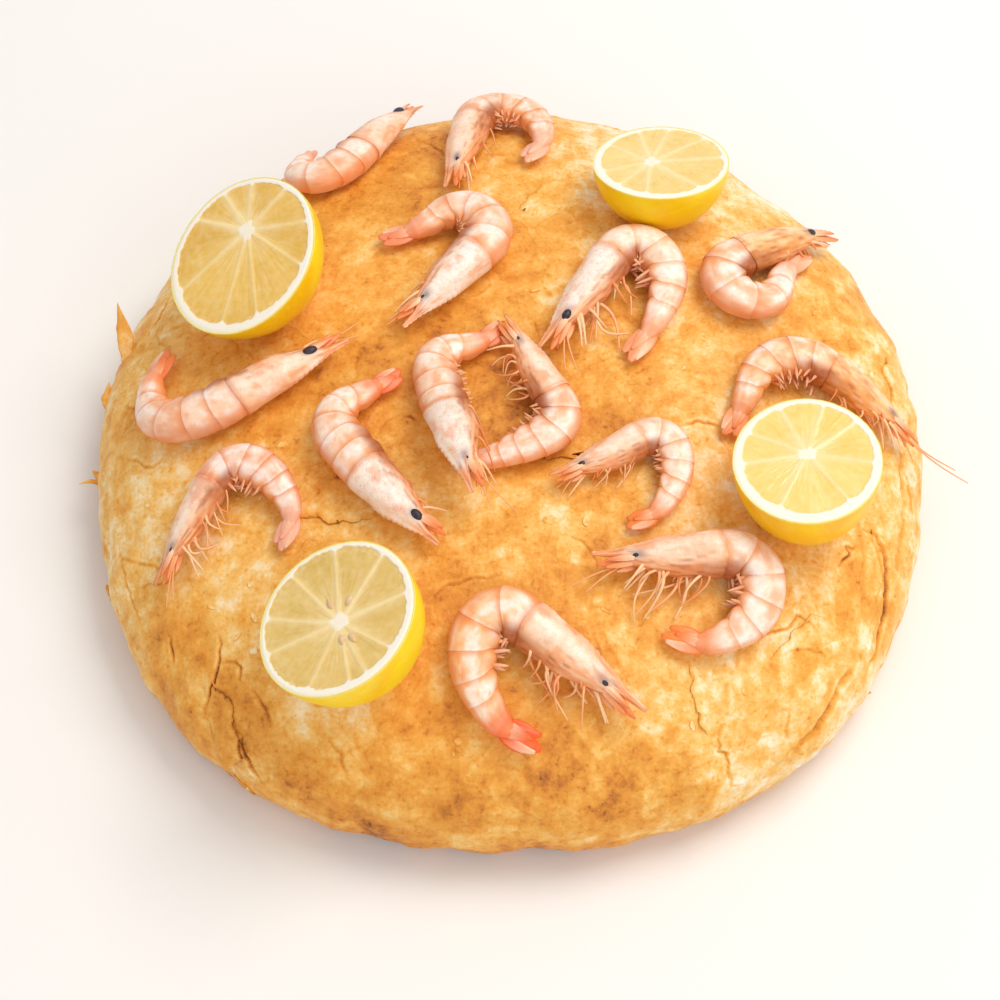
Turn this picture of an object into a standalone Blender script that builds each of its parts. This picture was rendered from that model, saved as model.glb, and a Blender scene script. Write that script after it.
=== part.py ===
"""Fish pastilla: a large round pie of thin pastry sheets with shrimps and cut lemons on its crust.

The pie is a low dome with an uneven rim, solid all through. Fourteen whole shrimps lie on their
sides on the crown, each curled in its own way, and four thick lemon pieces lie between them with
their cut faces up. Metres, +Z up, origin in the middle of the flat underside.
"""

import math
from dataclasses import dataclass

import bmesh
import bpy
import numpy as np
from mathutils import Matrix, Vector

MM = 0.001

# Pie
PIE_RADIUS = 0.160
PIE_HEIGHT = 0.068
RIM_HEIGHT = 0.018
BASE_SHARE = 0.93
CROWN_POWER = 3.0
RIM_LOBES = ((2, -0.017, 0.0), (3, 0.0, -0.008), (4, -0.0085, 0.0), (5, 0.0, 0.008))
TURN_STEPS = 84
CROWN_SHARES = (0.10, 0.25, 0.40, 0.53, 0.65, 0.75, 0.83, 0.90, 0.95, 0.985)
TUCK_STEPS = 3

# Where the crown gets steep, toppings that reach further out run on straight
STRAIGHT_SHARE = 0.92
RESTING_GAP = 0.00035

# Crust relief, all of it below the smooth crown that the toppings lie on
SWELL_DEPTH = 0.0007
SWELL_WAVES = ((61.0, 1.3), (53.0, -0.4), (97.0, 88.0))
FOLD_DEPTH = 0.0016
FOLD_WAVES = (23.0, 7.0)
GATHER_WAVES = 41.0
SHEET_STEP = 0.0013

# Torn sheets: skin, grid, and how far the free edge, the back and the ends sink into the crust
SHEET_SKIN = 0.0030
SHEET_STEPS_ACROSS = 8
SHEET_STEPS_BACK = 2
EDGE_SINK = 0.00012
BACK_SINK = 0.0022
END_SINK = 0.0020

# Curled flakes: skin, rings along the blade, and how deep the root sits in the flank
FLAKE_SKIN = 0.0008
FLAKE_STEPS = 3
FLAKE_ROOT = 0.0030

# Shrimp of this length has the section sizes below, longer and shorter ones are scaled
SHRIMP_LENGTH = 0.110
HEAD_SHARE = 0.40
RING_SIDES = 7
MID_RISE = 0.0066
EYE_RADIUS = 0.0019
EYE_SHARE = 0.135
LEG_RADIUS = 0.0006
LEG_START = 0.21
LEG_SPACING = 0.045
FEELER_RADIUS = 0.00045
FEELER_START = 0.12
FEELER_STEPS = 2

# Head sections: share of the length, back-to-belly depth, width, shift towards the back
HEAD_SECTIONS = (
    (0.000, 0.0016, 0.0012, 0.0012),
    (0.070, 0.0054, 0.0030, 0.0008),
    (0.130, 0.0092, 0.0060, 0.0002),
    (0.250, 0.0148, 0.0108, 0.0000),
    (0.385, 0.0168, 0.0128, 0.0000),
)

# Fringe of paddles under the abdomen: shares of the length and how far it stands out there
SWIMMERETS = ((0.43, 0.0012), (0.50, 0.0034), (0.59, 0.0036), (0.68, 0.0010))

# Abdomen segments: share of the length where each ends, depth and width there
ABDOMEN_START = 0.400
ABDOMEN_SEGMENTS = (
    (0.480, 0.0172, 0.0130),
    (0.560, 0.0168, 0.0126),
    (0.640, 0.0154, 0.0114),
    (0.715, 0.0134, 0.0098),
    (0.780, 0.0112, 0.0080),
    (0.865, 0.0086, 0.0060),
)
SEGMENT_TUCK = 0.90
SEGMENT_STEP = 0.010
TAIL_END = (0.920, 0.0040, 0.0028)

# Flat blades: shares of the length along each, angle off the centre line, depth, width
UPPER_FAN = ((0.845, 0.89, 0.945, 1.0), 5.0, 0.0088, 0.0032)
LOWER_FAN = ((0.845, 0.89, 0.945, 0.985), -10.0, 0.0072, 0.0034)
HEAD_SCALE = ((0.165, 0.09, 0.02), -6.0, 0.0048, 0.0026)

# Lemon pieces
LEMON_STEPS = 26
LEMON_TAPER = 0.70
LEMON_FOOT = 0.88
LEMON_EDGE = 0.0008
LEMON_MEAN_RADIUS = 0.026
SEAT_SEARCH = (-0.03, 0.08)


@dataclass(frozen=True)
class ShrimpPose:
    """One shrimp: its waist on the crown, the way its head points, and how its abdomen curls.

    x and y are in millimetres along the crown from its top, angles in degrees, length in
    millimetres. bends are the turns of the front, middle and rear of the abdomen. side is 1
    where it turns counter-clockwise going back, else -1. girth scales the sections alone, and
    head_lift raises the head, in millimetres. legs is how many legs reach out from under the
    head, and leg_reach how far. feelers are an angle and a length for each.
    """

    x: float
    y: float
    heading: float
    bends: tuple
    length: float
    side: int
    girth: float = 1.0
    head_lift: float = 0.0
    legs: int = 3
    leg_reach: float = 12.0
    feelers: tuple = ()


@dataclass(frozen=True)
class LemonPose:
    """One lemon piece: its place on the crown, its oval cut face and its depth, in mm and degrees.

    lean and tilt turn the cut face from level, towards -X and towards -Y.
    """

    x: float
    y: float
    lean: float
    tilt: float
    half_width: float
    half_length: float
    depth: float
    turn: float


@dataclass(frozen=True)
class TornSheet:
    """A torn edge of a pastry sheet: middle of the edge, the way it faces, its size, in mm."""

    x: float
    y: float
    facing: float
    width: float
    reach: float


@dataclass(frozen=True)
class Flake:
    """A curled flake on the flank: where it springs from, its size in mm and how far it opens."""

    angle: float
    height: float
    length: float
    width: float
    opening: float
    lean: float


SHRIMPS = (
    ShrimpPose(-57, 114, 60, (32, 120, 0), 101, -1, girth=1.05, legs=1, leg_reach=6),
    ShrimpPose(-14, 126, 259, (83, 71, 55), 102, -1, legs=2, leg_reach=9),
    ShrimpPose(-13, 52, 228, (73, 93, -25), 104, 1, girth=1.1, legs=2, leg_reach=7, feelers=((12, 14),)),
    ShrimpPose(37, 51, 240, (118, 52, 17), 122, -1, girth=0.9, legs=3, leg_reach=16, feelers=((44, 20),)),
    ShrimpPose(86, 57, 33, (106, 116, -26), 126, 1, girth=0.86, legs=1, leg_reach=5),
    ShrimpPose(-99, -7, 31, (26, 83, 42), 114, -1, legs=2, leg_reach=5, feelers=((-8, 18),)),
    ShrimpPose(-49, -40, -46, (5, 95, -4), 97, -1, girth=1.15, legs=1, leg_reach=4),
    ShrimpPose(-22, -19, -72, (0, 92, -28), 95, -1, girth=1.15, head_lift=10.0, legs=0,
               feelers=((22, 24), (4, 20))),
    ShrimpPose(15, -10, 119, (80, 21, 62), 96, -1, legs=3, leg_reach=11),
    ShrimpPose(45, -28, 208, (108, 40, 42), 87, -1, legs=2, leg_reach=8, feelers=((28, 10),)),
    ShrimpPose(118, 8, -32, (50, 55, -12), 103, 1, legs=2, leg_reach=7, feelers=((-4, 34),)),
    ShrimpPose(70, -70, 187, (97, 58, 49), 107, -1, legs=3, leg_reach=15, feelers=((20, 22),)),
    ShrimpPose(-105, -42, 244, (89, 29, 66), 94, -1, legs=3, leg_reach=12, feelers=((14, 16),)),
    ShrimpPose(6, -99, -37, (108, 46, 44), 116, 1, legs=3, leg_reach=14),
)

LEMONS = (
    LemonPose(-93, 40, 24, 13, 29.0, 31.0, 21.0, -45),
    LemonPose(54, 87, 2, -18, 25.5, 25.5, 18.0, 0),
    LemonPose(96, -45, 5, -4, 25.5, 26.5, 24.0, 0),
    LemonPose(-53, -99, 22, 2, 27.5, 28.5, 24.0, -45),
)

SHEETS = (
    TornSheet(-62, -55, -92, 46, 16),
    TornSheet(18, -32, -80, 30, 12),
    TornSheet(98, -92, 130, 34, 14),
    TornSheet(138, -62, 10, 40, 12),
    TornSheet(-128, -72, -80, 26, 12),
    TornSheet(62, -120, -160, 30, 12),
    TornSheet(-98, -118, 20, 36, 10),
    TornSheet(10, 92, 140, 30, 12),
)

FLAKES = (
    Flake(163, 0.034, 13, 8, 22, -30),
    Flake(173, 0.026, 10, 7, 20, -25),
    Flake(186, 0.018, 8, 6, 50, -10),
    Flake(203, 0.014, 8, 7, 22, -30),
    Flake(234, 0.010, 8, 8, 24, 35),
    Flake(-6, 0.024, 9, 8, 24, 30),
    Flake(-17, 0.018, 10, 8, 22, 35),
    Flake(27, 0.024, 8, 8, 20, -30),
    Flake(80, 0.032, 7, 8, 18, 25),
    Flake(-76, 0.013, 8, 9, 14, 20),
)


def rim_factor(angle):
    """Share of the mean radius that the pie reaches in a direction."""
    factor = 1.0
    for waves, cosine, sine in RIM_LOBES:
        factor = factor + cosine * np.cos(waves * angle) + sine * np.sin(waves * angle)
    return factor


def crown_height(share):
    """Height of the smooth crown at a share of the rim radius."""
    return RIM_HEIGHT + (PIE_HEIGHT - RIM_HEIGHT) * np.sqrt(np.maximum(0.0, 1.0 - share**CROWN_POWER))


def smooth_step(value):
    """Ease from 0 to 1 as the value goes from 0 to 1."""
    value = np.clip(value, 0.0, 1.0)
    return value * value * (3.0 - 2.0 * value)


class Crown:
    """The smooth top of the pie, walked along its surface from the top of the dome."""

    TABLE_STEPS = 2001

    def __init__(self):
        self.shares = np.sin(np.linspace(0.0, math.pi / 2, self.TABLE_STEPS)) ** 0.9
        heights = crown_height(self.shares)
        steps = np.hypot(np.diff(self.shares) * PIE_RADIUS, np.diff(heights))
        self.walked = np.concatenate([[0.0], np.cumsum(steps)])
        self.limit = np.interp(STRAIGHT_SHARE, self.shares, self.walked)
        rise = -(PIE_HEIGHT - RIM_HEIGHT) * 0.5 * CROWN_POWER * STRAIGHT_SHARE ** (CROWN_POWER - 1)
        slope = np.array([PIE_RADIUS, rise / math.sqrt(1.0 - STRAIGHT_SHARE**CROWN_POWER)])
        self.outward = slope / np.linalg.norm(slope)

    def point(self, x, y):
        """Place on the surface after walking hypot(x, y) from the top in the direction of (x, y)."""
        walk = np.hypot(x, y)
        angle = np.arctan2(y, x)
        kept = np.minimum(walk, self.limit)
        share = np.interp(kept, self.walked, self.shares)
        radius = share * PIE_RADIUS + (walk - kept) * self.outward[0]
        height = crown_height(share) + (walk - kept) * self.outward[1]
        radius = radius * rim_factor(angle)
        return np.stack([radius * np.cos(angle), radius * np.sin(angle), height], axis=-1)

    def normal(self, x, y):
        """Unit normal of the surface at the same place, from two short steps across it."""
        step = 0.0004
        along_x = self.point(x + step, y) - self.point(x - step, y)
        along_y = self.point(x, y + step) - self.point(x, y - step)
        normal = np.cross(along_x, along_y)
        return normal / np.linalg.norm(normal, axis=-1, keepdims=True)

    def drape(self, x, y, rise):
        """Place that stands a rise above the surface."""
        rise = np.asarray(rise, dtype=float)
        return self.point(x, y) + rise[..., None] * self.normal(x, y)

    def clearance(self, points):
        """Height of points above the crown, taken square to it."""
        angle = np.arctan2(points[:, 1], points[:, 0])
        share = np.hypot(points[:, 0], points[:, 1]) / (PIE_RADIUS * rim_factor(angle))
        share = np.minimum(share, 0.995)
        slope = (PIE_HEIGHT - RIM_HEIGHT) / PIE_RADIUS * 0.5 * CROWN_POWER * share**2
        slope = slope / np.sqrt(1.0 - share**CROWN_POWER)
        return (points[:, 2] - crown_height(share)) / np.sqrt(1.0 + slope**2)


CROWN = Crown()


def new_object(name, mesh, collection):
    """Object of a mesh, linked into a collection."""
    thing = bpy.data.objects.new(name, mesh)
    collection.objects.link(thing)
    return thing


def mesh_from(name, points, faces):
    """Mesh of points and faces with its normals turned outwards."""
    mesh = bpy.data.meshes.new(name)
    mesh.from_pydata([tuple(map(float, point)) for point in points], [], faces)
    work = bmesh.new()
    work.from_mesh(mesh)
    bmesh.ops.recalc_face_normals(work, faces=work.faces)
    work.to_mesh(mesh)
    work.free()
    return mesh


def baked(thing, collection):
    """The object with its modifiers applied, or a curve made a mesh, its caps welded."""
    graph = bpy.context.evaluated_depsgraph_get()
    mesh = bpy.data.meshes.new_from_object(thing.evaluated_get(graph))
    work = bmesh.new()
    work.from_mesh(mesh)
    bmesh.ops.remove_doubles(work, verts=work.verts, dist=0.00001)
    bmesh.ops.recalc_face_normals(work, faces=work.faces)
    work.to_mesh(mesh)
    work.free()
    name = thing.name
    matrix = thing.matrix_world.copy()
    bpy.data.objects.remove(thing)
    result = new_object(name, mesh, collection)
    result.matrix_world = matrix
    return result


def loft(name, rings, collection):
    """Closed solid through rings of equal count, the first and last closed by flat faces."""
    sides = len(rings[0])
    points = np.concatenate(rings)
    faces = [tuple(range(sides)), tuple(range(len(points) - sides, len(points)))]
    for ring in range(len(rings) - 1):
        for side in range(sides):
            first = ring * sides + side
            second = ring * sides + (side + 1) % sides
            faces.append((first, second, second + sides, first + sides))
    return new_object(name, mesh_from(name, points, faces), collection)


def strand(name, points, radius, collection):
    """Thin tube along points, tapering to its end."""
    curve = bpy.data.curves.new(name, "CURVE")
    curve.dimensions = "3D"
    curve.bevel_depth = radius
    curve.bevel_resolution = 0
    curve.use_fill_caps = True
    line = curve.splines.new("POLY")
    line.points.add(len(points) - 1)
    for index, point in enumerate(points):
        line.points[index].co = (*map(float, point), 1.0)
        line.points[index].radius = 1.0 - 0.35 * index / (len(points) - 1)
    return baked(new_object(name, curve, collection), collection)


def fused(name, pieces, material, parts):
    """One solid from a collection of overlapping pieces, without loose scraps."""
    first = pieces.objects[0]
    rest = bpy.data.collections.new(name + "_rest")
    bpy.context.scene.collection.children.link(rest)
    for piece in list(pieces.objects)[1:]:
        pieces.objects.unlink(piece)
        rest.objects.link(piece)
    union = first.modifiers.new("union", "BOOLEAN")
    union.operation = "UNION"
    union.operand_type = "COLLECTION"
    union.collection = rest
    union.solver = "EXACT"
    bpy.context.view_layer.update()
    solid = baked(first, parts)
    solid.name = name
    for piece in list(rest.objects):
        bpy.data.objects.remove(piece)
    bpy.data.collections.remove(rest)
    bpy.data.collections.remove(pieces)
    keep_largest_body(solid.data)
    solid.data.name = name
    solid.data.materials.clear()
    solid.data.materials.append(material)
    return solid


def keep_largest_body(mesh):
    """Drop loose scraps, keeping the connected body with the most vertices."""
    work = bmesh.new()
    work.from_mesh(mesh)
    left = set(work.verts)
    bodies = []
    while left:
        front = [left.pop()]
        body = set(front)
        while front:
            vertex = front.pop()
            for edge in vertex.link_edges:
                other = edge.other_vert(vertex)
                if other not in body:
                    body.add(other)
                    front.append(other)
        left -= body
        bodies.append(body)
    bodies.sort(key=len)
    for body in bodies[:-1]:
        bmesh.ops.delete(work, geom=list(body), context="VERTS")
    bmesh.ops.dissolve_degenerate(work, edges=work.edges, dist=0.000002)
    bmesh.ops.triangulate(work, faces=work.faces)
    work.to_mesh(mesh)
    work.free()


def working_collection(name):
    """Fresh collection for the pieces that one solid is fused from."""
    collection = bpy.data.collections.new(name + "_pieces")
    bpy.context.scene.collection.children.link(collection)
    return collection


def food_material(name, color, roughness):
    """Plain surface of a food."""
    material = bpy.data.materials.new(name)
    material.use_nodes = True
    shader = material.node_tree.nodes["Principled BSDF"]
    shader.inputs["Base Color"].default_value = (*color, 1.0)
    shader.inputs["Roughness"].default_value = roughness
    shader.inputs["Metallic"].default_value = 0.0
    return material


def sheet_window(x, y, sheet):
    """How much a place lies near a torn edge: 1 at the edge, 0 well away from it."""
    facing = math.radians(sheet.facing)
    ahead = (x - sheet.x * MM) * math.cos(facing) + (y - sheet.y * MM) * math.sin(facing)
    across = -(x - sheet.x * MM) * math.sin(facing) + (y - sheet.y * MM) * math.cos(facing)
    span = 0.62 * sheet.width * MM
    reach = sheet.reach * MM
    return np.exp(-((across / span) ** 4)) * np.exp(-(((ahead + 0.3 * reach) / reach) ** 2))


def crown_relief(x, y):
    """Depth of the crust below the smooth crown: gentle swells, and a drop before each torn edge."""
    across, along, slanting = SWELL_WAVES
    swell = np.sin(across[0] * x + across[1]) * np.cos(along[0] * y + along[1])
    swell = swell + 0.6 * np.sin(slanting[0] * y + slanting[1] * x)
    relief = -SWELL_DEPTH * (0.55 + 0.35 * swell)
    for sheet in SHEETS:
        relief = relief - SHEET_STEP * sheet_window(x, y, sheet)
    return relief


def flank_relief(angle, low):
    """Folds and gathers of the sheets where they turn down over the rim."""
    folds = np.sin(FOLD_WAVES[0] * angle + 2.0 * np.sin(3.0 * angle)) * np.cos(FOLD_WAVES[1] * angle + 0.6)
    gathers = 0.5 * np.sin(GATHER_WAVES * angle + 3.0 * np.sin(5.0 * angle) + 9.0 * low)
    return -FOLD_DEPTH * (0.5 + 0.4 * folds + 0.3 * gathers)


def crust_body(collection):
    """The pie: a turned profile with the rim pulled uneven and the crust pressed into relief."""
    profile = [(0.0, PIE_HEIGHT)]
    for share in CROWN_SHARES:
        profile.append((share * PIE_RADIUS, float(crown_height(share))))
    tuck = (1.0 - BASE_SHARE) * PIE_RADIUS
    for step in range(TUCK_STEPS + 1):
        angle = 0.5 * math.pi * step / TUCK_STEPS
        radius = BASE_SHARE * PIE_RADIUS + tuck * math.cos(angle)
        profile.append((radius, RIM_HEIGHT * (1.0 - math.sin(angle))))
    profile.append((0.0, 0.0))
    mesh = bpy.data.meshes.new("crust")
    points = [(radius, 0.0, height) for radius, height in profile]
    mesh.from_pydata(points, [(index, index + 1) for index in range(len(points) - 1)], [])
    body = new_object("crust", mesh, collection)
    screw = body.modifiers.new("turn", "SCREW")
    screw.axis = "Z"
    screw.angle = 2.0 * math.pi
    screw.steps = TURN_STEPS
    screw.render_steps = TURN_STEPS
    screw.use_merge_vertices = True
    screw.merge_threshold = 0.0001
    body = baked(body, collection)
    for vertex in body.data.vertices:
        vertex.co = crust_point(vertex.co)
    return body


def crust_point(place):
    """A point of the round pie moved to the uneven rim and pressed in by the relief there."""
    angle = math.atan2(place.y, place.x)
    share = math.hypot(place.x, place.y) / PIE_RADIUS
    factor = float(rim_factor(angle))
    on_crown = place.z >= RIM_HEIGHT - 0.0001
    if share < 0.001:
        outward = np.array([0.0, 0.0, 1.0 if on_crown else -1.0])
        depth = float(crown_relief(0.0, 0.0)) if on_crown else 0.0
    elif on_crown:
        walked = float(np.interp(share, CROWN.shares, CROWN.walked))
        flat = np.array([walked * math.cos(angle), walked * math.sin(angle)])
        outward = CROWN.normal(flat[0], flat[1])
        depth = float(crown_relief(flat[0], flat[1]))
        depth += float(smooth_step((share - 0.82) / 0.15)) * float(flank_relief(angle, 0.0))
    elif place.z > 0.0001:
        outward = np.array([math.cos(angle), math.sin(angle), -0.3])
        depth = float(flank_relief(angle, place.z / RIM_HEIGHT))
    else:
        outward = np.array([math.cos(angle), math.sin(angle), 0.0])
        depth = float(flank_relief(angle, 0.0)) if share > 0.5 else 0.0
    moved = np.array([place.x * factor, place.y * factor, place.z]) + depth * outward
    return Vector((moved[0], moved[1], max(moved[2], 0.0)))


def torn_sheet(index, sheet, collection):
    """Edge of a pastry sheet: a shell that stands free along its ragged edge and sinks in behind it."""
    draws = np.random.default_rng(100 + index)
    ragged = draws.uniform(-1.0, 1.0, SHEET_STEPS_ACROSS + 1) * 0.10 * sheet.reach
    facing = math.radians(sheet.facing)
    ahead_axis = np.array([math.cos(facing), math.sin(facing)])
    across_axis = np.array([-math.sin(facing), math.cos(facing)])
    points = []
    for back in range(SHEET_STEPS_BACK + 1):
        behind = back / SHEET_STEPS_BACK
        for step in range(SHEET_STEPS_ACROSS + 1):
            aside = 2.0 * step / SHEET_STEPS_ACROSS - 1.0
            bow = 0.35 * sheet.reach * aside * aside
            ahead = -(bow + sheet.reach * behind) + ragged[step] * (1.0 - behind)
            flat = np.array([sheet.x, sheet.y]) + ahead * ahead_axis + 0.5 * sheet.width * aside * across_axis
            flat = flat * MM
            sink = EDGE_SINK + BACK_SINK * behind**1.3 + END_SINK * abs(aside) ** 5
            points.append(CROWN.drape(flat[0], flat[1], -sink))
    width = SHEET_STEPS_ACROSS + 1
    faces = []
    for back in range(SHEET_STEPS_BACK):
        for step in range(SHEET_STEPS_ACROSS):
            corner = back * width + step
            faces.append((corner, corner + 1, corner + 1 + width, corner + width))
    mesh = bpy.data.meshes.new("sheet")
    mesh.from_pydata([tuple(point) for point in points], [], faces)
    shell = new_object("sheet", mesh, collection)
    solidify = shell.modifiers.new("skin", "SOLIDIFY")
    solidify.thickness = SHEET_SKIN
    up = Vector(mesh.polygons[0].normal).z > 0.0
    solidify.offset = -1.0 if up else 1.0
    return baked(shell, collection)


def curled_flake(flake, collection):
    """Flake of crust: a thin bent blade that springs from the flank and stands off it."""
    angle = math.radians(flake.angle)
    radius = flank_radius(flake.height) * float(rim_factor(angle)) - FLAKE_ROOT
    root = np.array([radius * math.cos(angle), radius * math.sin(angle), flake.height])
    outward = np.array([math.cos(angle), math.sin(angle), 0.0])
    sideways = np.array([-math.sin(angle), math.cos(angle), 0.0])
    upward = np.array([0.0, 0.0, 1.0])
    lean = math.radians(flake.lean)
    along = math.cos(lean) * upward + math.sin(lean) * sideways
    across = -math.sin(lean) * upward + math.cos(lean) * sideways
    rings = []
    for step in range(FLAKE_STEPS + 1):
        share = step / FLAKE_STEPS
        opening = math.radians(flake.opening) * (0.5 + 0.8 * share)
        reach = flake.length * MM * share
        middle = root + reach * (math.cos(opening) * along + math.sin(opening) * outward)
        half = 0.5 * flake.width * MM * (1.0 - 0.72 * share**1.5)
        skin = 0.5 * FLAKE_SKIN * (math.cos(opening) * outward - math.sin(opening) * along)
        rings.append(np.array([
            middle - half * across - skin,
            middle + half * across - skin,
            middle + half * across + skin,
            middle - half * across + skin,
        ]))
    return loft("flake", rings, collection)


def flank_radius(height):
    """Mean radius of the pie's outside at a height."""
    if height > RIM_HEIGHT:
        lifted = (height - RIM_HEIGHT) / (PIE_HEIGHT - RIM_HEIGHT)
        return PIE_RADIUS * (1.0 - lifted**2) ** (1.0 / CROWN_POWER)
    sunk = 1.0 - height / RIM_HEIGHT
    return PIE_RADIUS * (BASE_SHARE + (1.0 - BASE_SHARE) * math.sqrt(1.0 - sunk**2))


def build_crust(parts):
    """Pie with its torn sheets and curled flakes as one solid."""
    pieces = working_collection("crust")
    crust_body(pieces)
    for index, sheet in enumerate(SHEETS):
        torn_sheet(index, sheet, pieces)
    for flake in FLAKES:
        curled_flake(flake, pieces)
    return fused("pastilla_crust", pieces, food_material("pastry_crust", (0.72, 0.43, 0.16), 0.62), parts)


class ShrimpShape:
    """Sections and centre line of one shrimp, laid out along the crown and draped on it."""

    TABLE_STEPS = 240

    def __init__(self, pose):
        self.pose = pose
        self.length = pose.length * MM
        self.scale = self.length / SHRIMP_LENGTH
        self.girth = self.scale * pose.girth
        share = np.linspace(0.0, 1.0, self.TABLE_STEPS)
        back = (share - HEAD_SHARE) / (1.0 - HEAD_SHARE)
        front, middle, rear = pose.bends
        turned = front * smooth_step(back / 0.35)
        turned = turned + middle * smooth_step((back - 0.25) / 0.4)
        turned = turned + rear * smooth_step((back - 0.6) / 0.35)
        course = np.radians(pose.heading + 180.0 + pose.side * turned)
        steps = np.stack([np.cos(course), np.sin(course)], axis=-1) * self.length / (self.TABLE_STEPS - 1)
        line = np.concatenate([[[0.0, 0.0]], np.cumsum(0.5 * (steps[1:] + steps[:-1]), axis=0)])
        waist = np.array([np.interp(HEAD_SHARE, share, line[:, axis]) for axis in (0, 1)])
        self.share = share
        self.course = course
        self.line = line - waist + np.array([pose.x, pose.y]) * MM
        bend = np.abs(np.gradient(course, self.length / (self.TABLE_STEPS - 1)))
        self.bend_radius = 1.0 / np.maximum(bend, 1.0)

    def centre(self, share):
        """Place of the centre line along the crown at a share of the length."""
        return np.array([np.interp(share, self.share, self.line[:, axis]) for axis in (0, 1)])

    def axes(self, share):
        """Directions along the crown towards the tail and towards the shrimp's back."""
        course = np.interp(share, self.share, self.course)
        tailward = np.array([math.cos(course), math.sin(course)])
        backward = self.pose.side * np.array([tailward[1], -tailward[0]])
        return tailward, backward

    def rise(self, share, width):
        """Height of the centre line above the crown, where the body rests by its own width."""
        middle = MID_RISE * self.girth
        drop = float(smooth_step((share - 0.50) / 0.35))
        resting = RESTING_GAP + 0.5 * width + 0.35 * (middle - 0.5 * width)
        lift = self.pose.head_lift * MM * float(smooth_step((0.50 - share) / 0.22))
        return (1.0 - drop) * (middle + RESTING_GAP) + drop * resting + lift

    def place(self, share, aside, rise, ahead=0.0):
        """Point at an offset towards the back and a rise, both in metres, draped on the crown."""
        tailward, backward = self.axes(share)
        flat = self.centre(share) + aside * backward - ahead * tailward
        return CROWN.drape(flat[0], flat[1], max(rise, RESTING_GAP))

    def ring(self, share, depth, width, shift):
        """Section across the body, its points at equal angles round an oval."""
        depth = depth * self.girth
        width = width * self.girth
        middle = self.rise(share, width)
        inner_limit = 0.85 * np.interp(share, self.share, self.bend_radius)
        points = []
        for side in range(RING_SIDES):
            angle = 2.0 * math.pi * (side + 0.5) / RING_SIDES
            aside = shift * self.girth + 0.52 * depth * math.cos(angle)
            aside = max(aside, -inner_limit)
            points.append(self.place(share, aside, middle + 0.52 * width * math.sin(angle)))
        return np.array(points)

    def blade(self, stations, spread, depth, width):
        """Rings of a flat four-sided blade that leaves the centre line at an angle."""
        rings = []
        start = stations[0]
        for station in stations:
            gone = abs(station - start) * self.length
            share = abs(station - start) / abs(stations[-1] - start)
            swell = math.sin(math.pi * (0.22 + 0.72 * share))
            half = 0.5 * depth * self.girth * swell
            thick = 0.5 * width * self.girth * (0.45 + 0.55 * swell)
            middle = self.rise(station, 2.0 * thick)
            aside = gone * math.tan(math.radians(spread))
            rings.append(np.array([
                self.place(station, aside - half, middle),
                self.place(station, aside, middle - thick),
                self.place(station, aside + half, middle),
                self.place(station, aside, middle + thick),
            ]))
        return rings


def shrimp_sections():
    """Sections from the tip of the head to the root of the tail fan, each segment lapping the next."""
    sections = list(HEAD_SECTIONS)
    start = ABDOMEN_START
    for end, depth, width in ABDOMEN_SEGMENTS:
        sections.append((start, SEGMENT_TUCK * depth, SEGMENT_TUCK * width, 0.0))
        sections.append((end - SEGMENT_STEP, depth, width, 0.0))
        start = end
    sections.append((TAIL_END[0], TAIL_END[1], TAIL_END[2], 0.0))
    return sections


def section_at(share):
    """Depth and width of the body at a share of its length."""
    sections = shrimp_sections()
    shares = [section[0] for section in sections]
    depth = float(np.interp(share, shares, [section[1] for section in sections]))
    width = float(np.interp(share, shares, [section[2] for section in sections]))
    return depth, width


def add_body(shape, collection):
    """Shell of the shrimp from the head spike to the last segment."""
    loft("body", [shape.ring(*section) for section in shrimp_sections()], collection)


def add_fan(shape, collection):
    """Closed tail fan of two long blades, and the flat scale beside the head spike."""
    for blade in (UPPER_FAN, LOWER_FAN, HEAD_SCALE):
        loft("blade", shape.blade(*blade), collection)


def add_eyes(shape, collection):
    """Two round eyes, one on each side of the head."""
    width = section_at(EYE_SHARE)[1] * shape.girth
    for side in (-1.0, 1.0):
        rise = shape.rise(EYE_SHARE, width) + side * 0.5 * width
        place = shape.place(EYE_SHARE, 0.0004, rise)
        mesh = bpy.data.meshes.new("eye")
        work = bmesh.new()
        bmesh.ops.create_icosphere(work, subdivisions=1, radius=EYE_RADIUS * shape.scale,
                                   matrix=Matrix.Translation(Vector(place)))
        work.to_mesh(mesh)
        work.free()
        new_object("eye", mesh, collection)


def add_legs(shape, collection):
    """Walking legs that fold out from under the head, and feelers ahead of it."""
    pose = shape.pose
    for leg in range(pose.legs):
        share = LEG_START + LEG_SPACING * leg
        depth, width = section_at(share)
        root = 0.30 * depth * shape.girth
        reach = pose.leg_reach * MM * (1.0 - 0.10 * leg)
        knee = root + 0.62 * reach
        foot = root + reach
        low = RESTING_GAP + LEG_RADIUS + 0.0005
        middle = shape.rise(share, width * shape.girth)
        points = [
            shape.place(share, -root, middle - 0.001),
            shape.place(share, -knee, 0.75 * middle + 0.001, ahead=0.10 * reach),
            shape.place(share, -foot, low + 0.0004 * leg, ahead=0.62 * reach),
        ]
        strand("leg", points, LEG_RADIUS, collection)
    for spread, reach in pose.feelers:
        middle = shape.rise(FEELER_START, 0.0)
        points = []
        for step in range(FEELER_STEPS + 1):
            part = step / FEELER_STEPS
            gone = reach * MM * part
            aside = -0.001 - gone * math.sin(math.radians(spread)) * (0.6 + 0.4 * part)
            ahead = gone * math.cos(math.radians(spread))
            points.append(shape.place(FEELER_START, aside, middle - 0.0022 * part, ahead=ahead))
        strand("feeler", points, FEELER_RADIUS, collection)


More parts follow.
